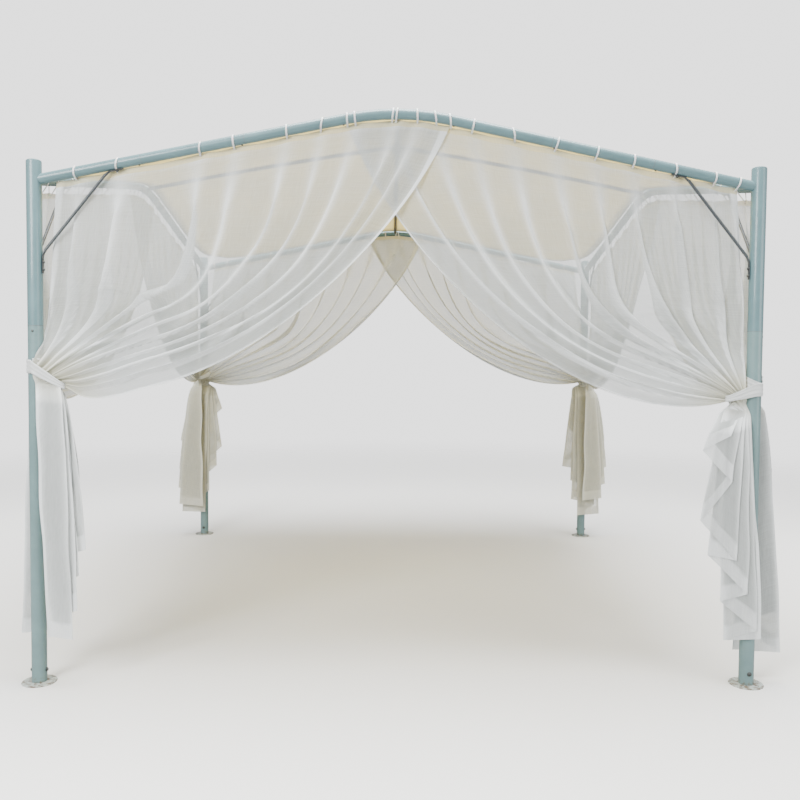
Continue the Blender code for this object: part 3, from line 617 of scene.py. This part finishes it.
def hung_part(rng, sizes, side, hand, lower):
    """The part from the rings to the tie, with a fold at every ring that deepens on its way.

    Its folds take up the cloth's whole width at every height, first in the deep folds and then
    in the fine ones.
    """
    u, t = ACROSS, DOWN
    wide, tall = u + 0 * t, t + 0 * u
    # Shares of the height at which the folds' reach and place are given
    stops = (0, 0.12, 0.4, 0.7, 1.0)
    places = RING_PLACES[hand]
    count = len(places) - 1
    ring = np.interp(u, places, range(count + 1))
    even = smooth(0.15, 0.95, t)
    drift = 0.45 * value_noise(rng, wide, tall, 5, 3) * smooth(0.05, 0.6, t)
    # Beside the post the folds run straight
    drift = drift * (0.25 + 0.75 * smooth(0.1, 0.5, u))
    phase = (1 - even) * ring + even * count * u + drift
    per_fold = np.gradient(phase, u[0], axis=1)
    edge = smooth(0, 0.035, u) * smooth(0, 0.035, 1 - u)
    wild = value_noise(rng, wide, tall, 14, 2)
    turn = math.tau * phase
    # Between two rings the top edge dips, more where they are far apart
    dip = np.clip(1.3 / np.gradient(ring, u[0], axis=1), 0.05, 0.25) * 0.03
    scallop = dip * (1 - np.abs(np.cos(math.pi * phase))) * (1 - smooth(0.0, 0.16, t))

    bundle = np.sqrt(np.clip(1 - (2 * u - 1) ** 2, 0.06, 1))
    bundle = 1 + (bundle - 1) * smooth(0.6, 1.0, t)
    reach = np.interp(t, stops, (0.006, 0.009, 0.019, 0.024, 0.010))
    reach = reach * bundle * (0.75 + 0.25 * wild)
    fine_turn = math.tau * (sizes.wrinkles * u + 0.9 * value_noise(rng, wide, tall, 9, 3))
    fine_reach = bundle * (0.7 + 0.3 * value_noise(rng, wide, tall, 20, 3)) * smooth(0, 0.1, t)
    beside, inward = SIDES[side] in ("left", "right"), SIDES[side] == "back"
    waist = np.array(WAISTS[SIDES[side], hand]) / 1000
    drop = sizes.side_drop if beside else sizes.heading_drop
    behind = np.interp(t, stops, (0.014, 0.018, 0.028, 0.032, 0.026))
    if beside:
        # The side curtains hang outside their rails
        behind = np.interp(t, (0, 0.2, 0.5, 1.0), (-0.020, -0.028, -0.026, -0.016))
    if hand == "right":
        # It passes behind the other curtain at the middle of the side
        behind = behind + (0.010 + 0.022 * smooth(0.0, 0.3, t)) * smooth(0.45, 0.8, u) * (1 - t)
    if beside:
        middle = -behind
    else:
        # At the tie it comes inside the back posts, and outside the front posts
        to_tie = 0.058 * smooth(0.55, 1.0, t) if inward else -0.016 * smooth(0.8, 1.0, t)
        middle = -behind * (1 - smooth(0.72, 1.0, t)) - to_tie

    def spread(strength):
        fold = (0.25 + smooth(0.0, 0.30, t) * (1.2 + 0.8 * wild) * strength) * edge
        return np.clip(u - fold * np.sin(turn) / (math.tau * per_fold), 0, 1)

    def points(strength, fine):
        x, z = drape(spread(strength), t, sizes, drop, waist, lower)
        depth = middle + reach * np.sin(turn) + fine * fine_reach * np.sin(fine_turn)
        if not inward:
            depth = depth + 0.026 * smooth(0.055, 0.0, x) * smooth(0.7, 0.95, t)
        return np.stack([x, depth, z - scallop], -1)

    def solve(low, high, shape):
        """The value at which each row is as long as the cloth is wide."""
        low, high = np.full_like(t, low), high + 0 * t
        for _ in range(14):
            trial = (low + high) / 2
            widths = np.linalg.norm(np.diff(shape(trial), axis=1), axis=2).sum(1)[:, None]
            wider = widths < sizes.cloth_width
            low, high = np.where(wider, trial, low), np.where(wider, high, trial)
        return (low + high) / 2

    strength = solve(0.3, 1.75, lambda trial: points(trial, 0.0012))
    most = np.interp(t, (0, 0.3, 0.6, 1.0), (0.001, 0.0025, 0.005, 0.0095))
    fine = solve(0.0008, most, lambda trial: points(strength, trial))
    # The painted shade between heaps shows little where the cloth is spread under the rail and
    # beside the post, and most in the swag
    shade_contrast = np.interp(t, (0, 0.15, 0.4, 0.7, 1.0), (0.30, 0.42, 0.95, 1.85, 1.70))
    shade_contrast = shade_contrast * (0.45 + 0.55 * smooth(0.08, 0.45, np.maximum(u, 2 * t - 1)))
    return points(strength, fine), 1 + (piled_up(spread(strength)) - 1) * shade_contrast


def tail_part(rng, side, hand, waist):
    """The part under the tie: the cloth zigzags from side to side, its hem stepping down."""
    u = ACROSS
    v = (np.arange(1, TAIL_ROWS + 1)[:, None] / TAIL_ROWS) ** 1.35
    kind, first, share, shift, lift = TAIL_STANCES[SIDES[side], hand]
    beside, back = kind in ("panel", "fan", "wing"), SIDES[side] == "back"
    turns = np.array(TAIL_TURNS[kind]) / 1000 * (share, 1.0) + (shift, lift)
    near, far = (-0.010, 0.034) if beside else (first, first + 0.091 - 0.5 * first)
    passes = len(turns) - 1
    i = np.minimum((u * passes).astype(int), passes - 1)
    p = u * passes - i
    eased = p - 0.80 * np.sin(math.tau * p) / math.tau
    outer = np.where(i % 2 == 0, eased, 1 - eased)
    stacked = (i + p + 0.85 * np.sin(math.tau * p) / math.tau) / passes
    hem_x, hem_z = [turns[i, k] + (turns[i + 1, k] - turns[i, k]) * eased for k in (0, 1)]
    tied_x = near + (far - near) * outer
    start_x, start_depth, top = [waist[None, :, k] for k in (0, 1, 2)]
    drop = (top - hem_z) * v
    z = top - drop
    # The side near the post falls straight at first; the other side flares at once
    power = 0.75 if kind == "right" else 1.1 - 0.6 * outer
    x = tied_x + (hem_x - tied_x) * v ** power
    # The broadest layer faces out, except in the front right tail and beside the front posts,
    # where the layers cascade
    order = stacked if kind in ("right", "panel") and not back else 1 - stacked
    out = smooth(0.03, 0.14, drop)
    stack = order * (0.012 + 0.038 * out)
    # Shared waves, so that the layers sway together
    across = (x + 0.1) / 0.4 + 0 * z
    sway = 1 + value_noise(rng, across, z / 1.3, 9, 4)
    pleat = value_noise(rng, across, z / 1.3, 19, 3)
    swung = smooth(0.05, 0.3, drop)
    x = x + 0.006 * value_noise(rng, u + 0 * z, z / 1.3, 12, 7) * swung
    if beside:
        depth, x = x, first + stack + 0.005 * sway * swung + 0.003 * pleat * out
    else:
        ripple = 0.003 if back else 0.0065
        depth = out * 0.034 + stack + 0.006 * sway * swung
        depth = depth + ripple * pleat * smooth(0.02, 0.2, drop)
    if SIDES[side] == "front":
        x, z = x + LEAN_OUT * depth, z + LEAN_UP * (CAMERA_PLACE[2] - z) * depth
    elif back:
        depth = -depth
    loose = smooth(0.0, 0.10 if beside else 0.06, drop)
    x = start_x + (x - start_x) * loose
    depth = start_depth + (depth - start_depth) * loose
    return np.stack([x, depth, z], -1)


def keep_off_post(points, clearance=0.003):
    """Push cloth out of the post that it hangs beside."""
    away = np.hypot(points[..., 0], points[..., 1])
    need = POST_RADIUS + clearance
    points[..., :2] *= np.where(away < need, need / np.maximum(away, 1e-6), 1.0)[..., None]


def cloth_layers(points, width, along, sizes):
    """How many layers of cloth each point stands for: gathers, heading, side hems and hem."""
    rest = sizes.cloth_width / (COLUMNS - 1)
    step = np.linalg.norm(np.diff(points, axis=1), axis=2)
    step = np.concatenate([step[:, :1], (step[:, 1:] + step[:, :-1]) / 2, step[:, -1:]], 1)
    kernel = np.ones(9) / 9
    padded = np.pad(step, ((0, 0), (4, 4)), mode="edge")
    step = np.apply_along_axis(lambda row: np.convolve(row, kernel, "valid"), 1, padded)
    layers = np.clip(rest / np.maximum(step, 1e-5), 0.85, 4.0)
    from_side = np.minimum(width, sizes.cloth_width - width)
    to_hem = along[-1][None, :] - along
    band = 1 + 0.9 * smooth(0.002, -0.002, from_side - sizes.side_hem)
    band = np.maximum(band, 1 + smooth(0.003, -0.003, to_hem - sizes.hem))
    return layers * np.maximum(band, 1 + 0.5 * smooth(0.002, -0.002, along - 0.024))


def curtain_points(sizes, side, hand):
    """Points of a curtain in its side's frame, its flat places, and its stored shares."""
    rng = np.random.default_rng(100 + 10 * side + HANDS.index(hand))
    lower = 0.0 if hand == "left" else 0.05
    upper, piled_shade = hung_part(rng, sizes, side, hand, lower)
    tail = tail_part(rng, side, hand, upper[-1])
    points = np.concatenate([upper, tail])
    tail_rows = np.arange(TAIL_ROWS)[:, None]
    easing = smooth(0, 12, tail_rows)
    tail_down = np.linspace(0, 1, TAIL_ROWS)[:, None]
    mottle = value_noise(rng, ACROSS + 0 * easing, tail_down + 0 * ACROSS, 40, 3)
    # The tails' painted shade eases from that at the tie to a mottle
    piled_shade = np.concatenate([piled_shade, piled_shade[-1:] * (1 - easing) + (1.0 + 0.35 * mottle) * easing])
    # The tails beside the back posts hang in the shade of many layers, which is painted on them as
    # a darker, creamier colour
    shade = SIDES[side] == "back" or TAIL_STANCES[SIDES[side], hand][0] in ("fan", "wing")
    shaded = 1 + ((0.9 if shade else 0.0) - 1) * smooth(0, 20, tail_rows)
    # Painted shade, darker and creamier, also at the tie where the layers press together
    pressed_shade = np.concatenate([smooth(0.86, 1.0, DOWN), shaded]) + 0 * ACROSS
    keep_off_post(points)
    down = np.linalg.norm(np.diff(points, axis=0), axis=2)
    along = np.concatenate([np.zeros((1, COLUMNS)), np.cumsum(down, 0)])
    width = np.linspace(0, sizes.cloth_width, COLUMNS)[None, :] + 0 * along
    layers = cloth_layers(points, width, along, sizes)
    mirror = 1 if hand == "left" else -1
    placed = np.stack([mirror * (points[..., 0] - HALF_SPAN), HALF_SPAN + points[..., 1],
                       points[..., 2]], -1)
    shares = {"layers": layers, "piled_shade": piled_shade, "pressed_shade": 0.7 * pressed_shade}
    return placed, np.stack([width, -along], -1), shares


def ring_loop(x, centre_height, eye_depth, eye_drop, lean, sizes):
    """One curtain ring: a flat band round the rail that closes at the curtain's eyelet."""
    inner = RAIL_RADIUS + RING_WALL
    angles = np.linspace(-0.72 * math.pi, 0.72 * math.pi, 22)
    round_rail = np.stack([inner * np.sin(angles), inner * np.cos(angles)], -1)
    first, last = round_rail[0], round_rail[-1]
    before, after = (eye_depth - 0.003, -eye_drop), (eye_depth + 0.003, -eye_drop)
    legs = [last * (1 - share) + np.array(after) * share for share in (0.35, 0.7, 1.0)]
    legs += [np.array(before) * (1 - share) + first * share for share in (0.0, 0.3, 0.65)]
    loop = np.concatenate([round_rail, legs])
    outward = loop - loop.mean(0)
    outward /= np.linalg.norm(outward, axis=1)[:, None]
    half = sizes.ring_band / 2
    section = ((-half, 0.0), (-half * 0.7, RING_WALL), (half * 0.7, RING_WALL), (half, 0.0),
               (half * 0.7, -0.0004), (-half * 0.7, -0.0004))
    return np.array([[(x + across + lean * up, HALF_SPAN + out + out_way * lift,
                       centre_height + up + up_way * lift) for across, lift in section]
                     for (out, up), (out_way, up_way) in zip(loop, outward)])


class FrameOperator(bpy.types.Operator):
    """Give every steel part of the frame its finish and smooth its facets"""
    bl_idname = "gazebo.dress_frame"
    bl_label = "Dress the frame"

    def execute(self, context):
        colours = context.scene.gazebo.colours
        # The lower posts get a lighter coat than the upper posts
        looks = (("lower_post", "powder_coated_steel_weathered", colours.lower_post, 0.45, 0.03),
                 ("base_flange", "powder_coated_steel_chalked", colours.foot, 0.60, 0.05),
                 ("brace", "grey_enamelled_steel", colours.brace, 0.45),
                 ("ridge", "brown_grey_enamelled_steel", colours.ridge, 0.50),
                 ("", "powder_coated_steel", colours.frame, 0.42))
        finishes = [(start, painted_steel(*look)) for start, *look in looks]
        soften = soften_facets()
        for name, node in frame["nodes"].items():
            if name.startswith(("curtain_", "tieback_", "roof_")):
                continue
            for slot in node.material_slots:
                slot.material = next(finish for start, finish in finishes if name.startswith(start))
            node.modifiers.new("soften", "NODES").node_group = soften
        return {"FINISHED"}


def soften_facets():
    """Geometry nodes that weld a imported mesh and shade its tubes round."""
    group = bpy.data.node_groups.new("soften_facets", "GeometryNodeTree")
    for way in ("INPUT", "OUTPUT"):
        group.interface.new_socket("Geometry", in_out=way, socket_type="NodeSocketGeometry")
    add = partial(add_node, group)
    mesh = add("NodeGroupInput")
    mesh = add("GeometryNodeMergeByDistance", {"Geometry": mesh, "Distance": 0.00005})
    mesh = add("GeometryNodeRemoveAttribute", {"Geometry": mesh, "Name": "custom_normal"})
    angle = add("GeometryNodeInputMeshEdgeAngle").outputs["Unsigned Angle"]
    sharp = add("FunctionNodeCompare", {0: angle, 1: math.radians(40)}, data_type="FLOAT",
                operation="LESS_EQUAL")
    mesh = add("GeometryNodeSetShadeSmooth", {"Geometry": mesh, "Shade Smooth": True},
               domain="FACE")
    mesh = add("GeometryNodeSetShadeSmooth", {"Geometry": mesh, "Shade Smooth": sharp},
               domain="EDGE")
    add("NodeGroupOutput", {0: mesh})
    return group


class FittingsOperator(bpy.types.Operator):
    """Add bolts, screws and the seams of the tubes"""
    bl_idname = "gazebo.add_fittings"
    bl_label = "Add bolts, screws and seams"

    def execute(self, context):
        settings = context.scene.gazebo
        radius = settings.sizes.bolt_head
        steel = plated_steel("zinc_plated_steel", settings.colours.steel)
        shadow = painted_steel("tube_seam_shadow", linear("6F7B7E"), 0.6)
        bolts, screws, seams = Shape(), Shape(), Shape()
        normal = np.array((math.sin(RAIL_ANGLE), 0, math.cos(RAIL_ANGLE)))
        for side in range(4):
            for mirror in (-1, 1):
                up = normal * (mirror, 1, 1)
                along = np.array((up[2], 0, -up[0]))
                for offset in RAIL_SEAMS:
                    x = mirror * offset
                    centre = np.array((x, HALF_SPAN, float(rail_height(x))))
                    seams.add(seam(RAIL_RADIUS, 0.0012, centre, along, 28), side, "ring")
                    under = centre - up * RAIL_RADIUS + along * mirror * RAIL_SCREW_SHIFT
                    screws.add(turned(RAIL_SCREW, under, -up, 12), side)
                # Brace pads: two bolts on the post and one under the rail
                for z in BRACE_BOLT_HEIGHTS:
                    place = (mirror * (HALF_SPAN - POST_RADIUS - POST_PAD), HALF_SPAN, z)
                    bolts.add(bolt(place, (-mirror, 0, 0), radius * 0.8, 0.0055), side)
                drop = RAIL_RADIUS + RAIL_PAD
                z = RAIL_HEIGHT_AT_POST + RAIL_SLOPE * BRACE_REACH - drop * math.cos(RAIL_ANGLE)
                x = mirror * (HALF_SPAN - BRACE_REACH - drop * math.sin(RAIL_ANGLE))
                bolts.add(bolt((x, HALF_SPAN, z), -up, radius * 0.8, 0.006), side)
            # Post at this side's left end: seam, its screw and the foot's cross bolt
            post = np.array((-HALF_SPAN, HALF_SPAN, 0))
            band = seam(POST_RADIUS, 0.0013, post + (0, 0, POST_SEAM), (0, 0, 1), 32)
            seams.add(band, side, "ring")
            place = post + (0, POST_RADIUS, POST_SEAM - POST_SCREW_DROP)
            screws.add(turned(POST_SCREW, place, (0, 1, 0), 12), side)
            for way in (1, -1):
                place = post + (way * POST_RADIUS, 0, FOOT_BOLT_HEIGHT)
                bolts.add(bolt(place, (way, 0, 0), radius, 0.0065), side)
        bolts.make("frame_bolts", steel, "brace_paint")
        screws.make("seam_screws", steel, "brace_paint")
        seams.make("tube_seams", shadow, "brace_paint")
        return {"FINISHED"}


def canopy_height(x, y):
    """Underside of the roof: a sheet spread between the ridge tubes and the rails."""
    a, b = np.abs(x) / HALF_SPAN, np.abs(y) / HALF_SPAN
    hub, crown, corner = ridge_height(0), rail_height(0), rail_height(HALF_SPAN)
    along_ridges = (1 - b) * ridge_height(np.abs(x)) + (1 - a) * ridge_height(np.abs(y))
    along_rails = b * rail_height(x) + a * rail_height(y)
    shared = (1 - a) * (1 - b) * hub + (a + b - 2 * a * b) * crown + a * b * corner
    sag = CANOPY_SAG * 16 * a * (1 - a) * b * (1 - b)
    return along_ridges + along_rails - shared - sag + RIDGE_RADIUS + CANOPY_CLEARANCE


def canopy_plan(a, b, half):
    """Place in plan for shares (-1 to 1) across the roof; the edges bow in between posts."""
    corner = CORNER_CUT * (a * b) ** 10
    return a * (half - CANOPY_BOW * b ** 2 - corner), b * (half - CANOPY_BOW * a ** 2 - corner)


class CanopyOperator(bpy.types.Operator):
    """Spread the roof cloth over the ridge tubes, with its hem and seams"""
    bl_idname = "gazebo.spread_canopy"
    bl_label = "Spread the canopy"

    def execute(self, context):
        settings = context.scene.gazebo
        half = settings.sizes.canopy_half
        colours = settings.colours
        roof_cloth = woven_cloth("proofed_polyester_canopy", colours.canopy, 0.55, 0.004, 0.08)
        tape = woven_cloth("polyester_tape", colours.tape, 0.55, 0.004, 0.08, folded=True)
        rng = np.random.default_rng(7)
        shares = np.linspace(-1, 1, CANOPY_CELLS + 1)
        a, b = np.meshgrid(shares, shares, indexing="ij")
        x, y = canopy_plan(a, b, half)
        z = canopy_height(x, y)
        # Creases that run out of each corner, and a slack ripple along the hem
        corner_x, corner_y = 1 - np.abs(a), 1 - np.abs(b)
        away = np.hypot(corner_x, corner_y)
        fan = np.arctan2(corner_y, corner_x)
        crease = np.cos(fan * 18 + 2 * value_noise(rng, np.abs(a), np.abs(b), 3, 3))
        z = z + 0.0035 * (crease + 1) * smooth(0.9, 0.15, away) * smooth(0.0, 0.12, away)
        slack = value_noise(rng, (a + 1) / 2, (b + 1) / 2, 26, 26)
        off_ridge = smooth(0.02, 0.15, np.minimum(np.abs(a), np.abs(b)))
        off_edge = smooth(0.0, 0.05, np.minimum(corner_x, corner_y))
        z = z + 0.004 * (slack + 0.3) * off_ridge * off_edge
        edge = np.minimum(half * corner_x, half * corner_y)
        ridge = np.minimum(np.abs(x), np.abs(y))
        layers = 1 + 1.6 * smooth(0.040, 0.036, edge) + 1.2 * smooth(0.016, 0.012, ridge)
        piece = cloth_object("canopy_cloth", np.stack([x, y, z], -1), np.stack([x, y], -1),
                             {"layers": layers}, roof_cloth)
        thicken(piece, 0.0008)
        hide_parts("roof_canopy")
        binding = edge_binding(half, tape)
        seams = ridge_seams(half, tape)
        return {"FINISHED"}


def edge_binding(half, finish):
    """A folded tape sewn round the edge."""
    section = ((-0.016, 0.0012), (0.0015, 0.0016), (0.0022, 0.0004), (0.0015, -0.0010),
               (-0.016, -0.0006))
    shares = np.linspace(-1, 1, 121)
    x, y = canopy_plan(shares, -1.0, half)
    z = canopy_height(x, y)
    rows = np.stack([np.stack([x, -y + out, z + lift], -1) for out, lift in section], 1)
    shape = Shape()
    for side in range(4):
        shape.add(rows, side)
    return shape.make("canopy_edge_binding", finish, "canopy_cloth")


def ridge_seams(half, finish):
    """Felled seams over the four ridge tubes."""
    section = ((-0.013, 0.0009), (-0.011, 0.0018), (0.0, 0.0022), (0.011, 0.0018), (0.013, 0.0009))
    out = np.linspace(0.004, 0.994, 90) * half
    rows = np.stack([np.stack([across + 0 * out, out, canopy_height(across, out) + lift], -1)
                     for across, lift in section], 1)
    shape = Shape()
    for side in range(4):
        shape.add(rows, side, "sheet")
    return shape.make("canopy_ridge_seams", finish, "canopy_cloth")


class CurtainsOperator(bpy.types.Operator):
    """Hang the eight sheer curtains and the rings that carry them"""
    bl_idname = "gazebo.hang_curtains"
    bl_label = "Hang the curtains"

    def execute(self, context):
        settings = context.scene.gazebo
        sizes = settings.sizes
        voile = sheer_voile("polyester_voile", settings.colours)
        nylon = moulded_nylon("moulded_nylon", settings.colours.ring)
        for side, side_name in enumerate(SIDES):
            for hand in HANDS:
                points, cloth, shares = curtain_points(sizes, side, hand)
                piece = cloth_object(f"sheer_curtain_{hand}_{side_name}", on_side(points, side),
                                     cloth, shares, voile)
                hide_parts(f"curtain_{hand}_{side_name}")
                rings = curtain_rings(points[0], side, hand, sizes, nylon)
        return {"FINISHED"}


def curtain_rings(top_edge, side, hand, sizes, finish):
    """The rings of one curtain, each leaning a little its own way."""
    rng = np.random.default_rng(500 + 10 * side + HANDS.index(hand))
    shape = Shape()
    places = RING_PLACES[hand]
    # A left-hand curtain's end is hooked behind the rail, with no ring beside the post
    for place in places[1:] if hand == "left" else places:
        x, out, z = top_edge[round(place * (COLUMNS - 1))]
        centre = float(rail_height(x))
        loop = ring_loop(x, centre, out - HALF_SPAN, centre - z + EYELET_DEPTH,
                         rng.uniform(-0.28, 0.28), sizes)
        shape.add(loop, side, "ring")
    return shape.make(f"curtain_rings_{hand}_{SIDES[side]}", finish, "strap_cloth")


class TiesOperator(bpy.types.Operator):
    """Wrap a cloth tie round each post and the curtains beside it"""
    bl_idname = "gazebo.wrap_ties"
    bl_label = "Wrap the ties"

    def execute(self, context):
        colour = context.scene.gazebo.colours.strap
        finish = woven_cloth("polyester_strap", colour, 0.25, 0.003, 0.05)
        for index, corner in enumerate(CORNERS):
            piece = cloth_tie(index, corner, finish)
            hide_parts("tieback_" + corner)
        return {"FINISHED"}


def cloth_tie(index, corner, finish):
    """A band that goes once round the post, then round the post and both curtains."""
    rng = np.random.default_rng(900 + index)
    height, step, slope, bundles = TIES[corner]
    outline = [Vector((x + radius * math.cos(turn), y + radius * math.sin(turn)))
               for x, y, radius in ((0.0, 0.0, POST_RADIUS + 0.0030), *bundles)
               for turn in np.linspace(0, math.tau, 48, endpoint=False)]
    loop = np.array([outline[i] for i in convex_hull_2d(outline)])
    loop = np.roll(loop, -int(np.argmin(loop.sum(1))), 0)
    closed = np.concatenate([loop, loop[:1]])
    run = distances(closed)
    steps = np.linspace(0, run[-1], 170)
    second = np.stack([np.interp(steps, run, closed[:, k]) for k in (0, 1)], -1)
    start = math.atan2(second[0, 1], second[0, 0])
    way = np.sign(np.cross(loop, np.roll(loop, -1, 0)).sum())
    angles = start - way * np.linspace(math.tau, 0, 70)[:-1]
    first = (POST_RADIUS + 0.0014) * np.stack([np.cos(angles), np.sin(angles)], -1)
    path = np.concatenate([first, second])
    ahead = np.gradient(path, axis=0)
    out = way * np.stack([ahead[:, 1], -ahead[:, 0]], -1)
    out /= np.linalg.norm(out, axis=1)[:, None]
    along = distances(path)
    once = along[len(first)]
    reach = np.clip(np.maximum(path[:, 0], path[:, 1]), 0, TIE_REACH) * (along > once)
    middle = height - step * smooth(0.55, 1.0, along / once) - slope * reach
    half = TIE_HALF - TIE_NARROWING * reach / TIE_REACH
    s, c = np.meshgrid(along / along[-1], np.linspace(-1, 1, 13), indexing="ij")
    wrinkle = value_noise(rng, s, (c + 1) / 2, 22, 5)
    pleat = np.sin(c * 9 + 3 * value_noise(rng, s, 0.5 + 0 * c, 13, 1))
    lift = 0.0008 + 0.0010 * (pleat + 1) + 0.0009 * (wrinkle + 1)
    points = np.zeros((*s.shape, 3))
    points[..., :2] = path[:, None, :] + out[:, None, :] * lift[..., None]
    points[..., 2] = middle[:, None] + half[:, None] * c
    spin = Matrix.Rotation(index * math.pi / 2, 3, "Z")
    post = spin @ Vector((-HALF_SPAN, -HALF_SPAN, 0))
    points = points @ np.array(spin).T + np.array(post)
    cloth = np.stack([s * along[-1], c * TIE_HALF], -1)
    piece = cloth_object("cloth_tie_" + corner, points, cloth, {"layers": 2 + 0 * s}, finish)
    thicken(piece, 0.0009)
    return piece


def distances(path):
    """How far along a path each of its points lies."""
    steps = np.linalg.norm(np.diff(path, axis=0), axis=1)
    return np.concatenate([[0], np.cumsum(steps)])


class StageOperator(bpy.types.Operator):
    """Set the floor, the soft light and the photograph's camera"""
    bl_idname = "gazebo.set_stage"
    bl_label = "Set the stage"

    def execute(self, context):
        scene = context.scene
        floor = round_floor(scene.gazebo.colours)
        scene.collection.objects.link(floor)
        scene.world = soft_light()
        for name, place, target, size, power in LAMPS:
            data = bpy.data.lights.new(name, "AREA")
            data.shape, data.size, data.energy = "DISK", size, power
            lamp = bpy.data.objects.new(name, data)
            lamp.location = place
            aim = Vector(target) - Vector(place)
            lamp.rotation_euler = aim.to_track_quat("-Z", "Y").to_euler()
            scene.collection.objects.link(lamp)

        data = bpy.data.cameras.new("camera")
        data.lens, data.sensor_width = CAMERA_LENS, SENSOR
        camera = bpy.data.objects.new("camera", data)
        turn = Matrix.Rotation(CAMERA_YAW, 3, "Z") @ Matrix.Rotation(CAMERA_PITCH, 3, "X")
        turn = turn @ Matrix.Rotation(-CAMERA_ROLL, 3, "Y")
        basis = turn @ Matrix.Rotation(math.pi / 2, 3, "X")
        camera.matrix_world = Matrix.Translation(CAMERA_PLACE) @ basis.to_4x4()
        scene.collection.objects.link(camera)
        scene.camera = camera
        return {"FINISHED"}


def soft_light():
    """Soft light that comes mostly from above, before a backdrop brighter than itself."""
    world = bpy.data.worlds.new("studio_light")
    world.use_nodes = True
    world.node_tree.nodes.clear()
    add = partial(add_node, world.node_tree)
    seen = add("LightPath").outputs["Is Camera Ray"]
    place = add("TexCoord").outputs["Generated"]
    height = add("SeparateXYZ", {"Vector": place}).outputs["Z"]
    given = add("MapRange", {"Value": height, "From Min": -0.35, "From Max": 0.45,
                             "To Min": 0.05, "To Max": 0.82})
    power = add("MapRange", {"Value": seen, "To Min": given, "To Max": 2.3})
    soft = add("Background", {"Strength": power, "Color": (1.0, 1.0, 1.0, 1.0)})
    add("OutputWorld", {"Surface": soft})
    return world


def round_floor(colours):
    """A round floor that fades into the backdrop, so that no horizon shows."""
    angles = np.linspace(0, math.tau, 96, endpoint=False)
    rim = [(FLOOR_RADIUS * math.cos(a), FLOOR_RADIUS * math.sin(a), 0.0) for a in angles]
    mesh = bpy.data.meshes.new("studio_floor")
    mesh.from_pydata(rim, [], [tuple(range(len(rim)))])
    mesh.materials.append(studio_floor("matt_floor_paint", colours.floor))
    return bpy.data.objects.new("studio_floor", mesh)


OPERATORS = (FrameOperator, FittingsOperator, CanopyOperator, CurtainsOperator, TiesOperator,
             StageOperator)


class GazeboPanel(bpy.types.Panel):
    """The gazebo's steps and settings"""
    bl_idname = "VIEW3D_PT_gazebo"
    bl_label = "Garden gazebo"
    bl_space_type = "VIEW_3D"
    bl_region_type = "UI"
    bl_category = "Gazebo"

    def draw(self, context):
        settings = context.scene.gazebo
        for operator in OPERATORS:
            self.layout.operator(operator.bl_idname)
        for group in (settings.colours, settings.sizes):
            box = self.layout.box()
            for name in group.bl_rna.properties.keys():
                if name not in ("rna_type", "name"):
                    box.prop(group, name)


CLASSES = (GazeboColours, GazeboSizes, GazeboSettings, *OPERATORS, GazeboPanel)


def register():
    for item in CLASSES:
        bpy.utils.register_class(item)
    bpy.types.Scene.gazebo = PointerProperty(type=GazeboSettings)


def unregister():
    del bpy.types.Scene.gazebo
    for item in reversed(CLASSES):
        bpy.utils.unregister_class(item)


def main():
    register()
    for operator in OPERATORS:
        group, name = operator.bl_idname.split(".")
        getattr(getattr(bpy.ops, group), name)()


if __name__ == "__main__":
    main()
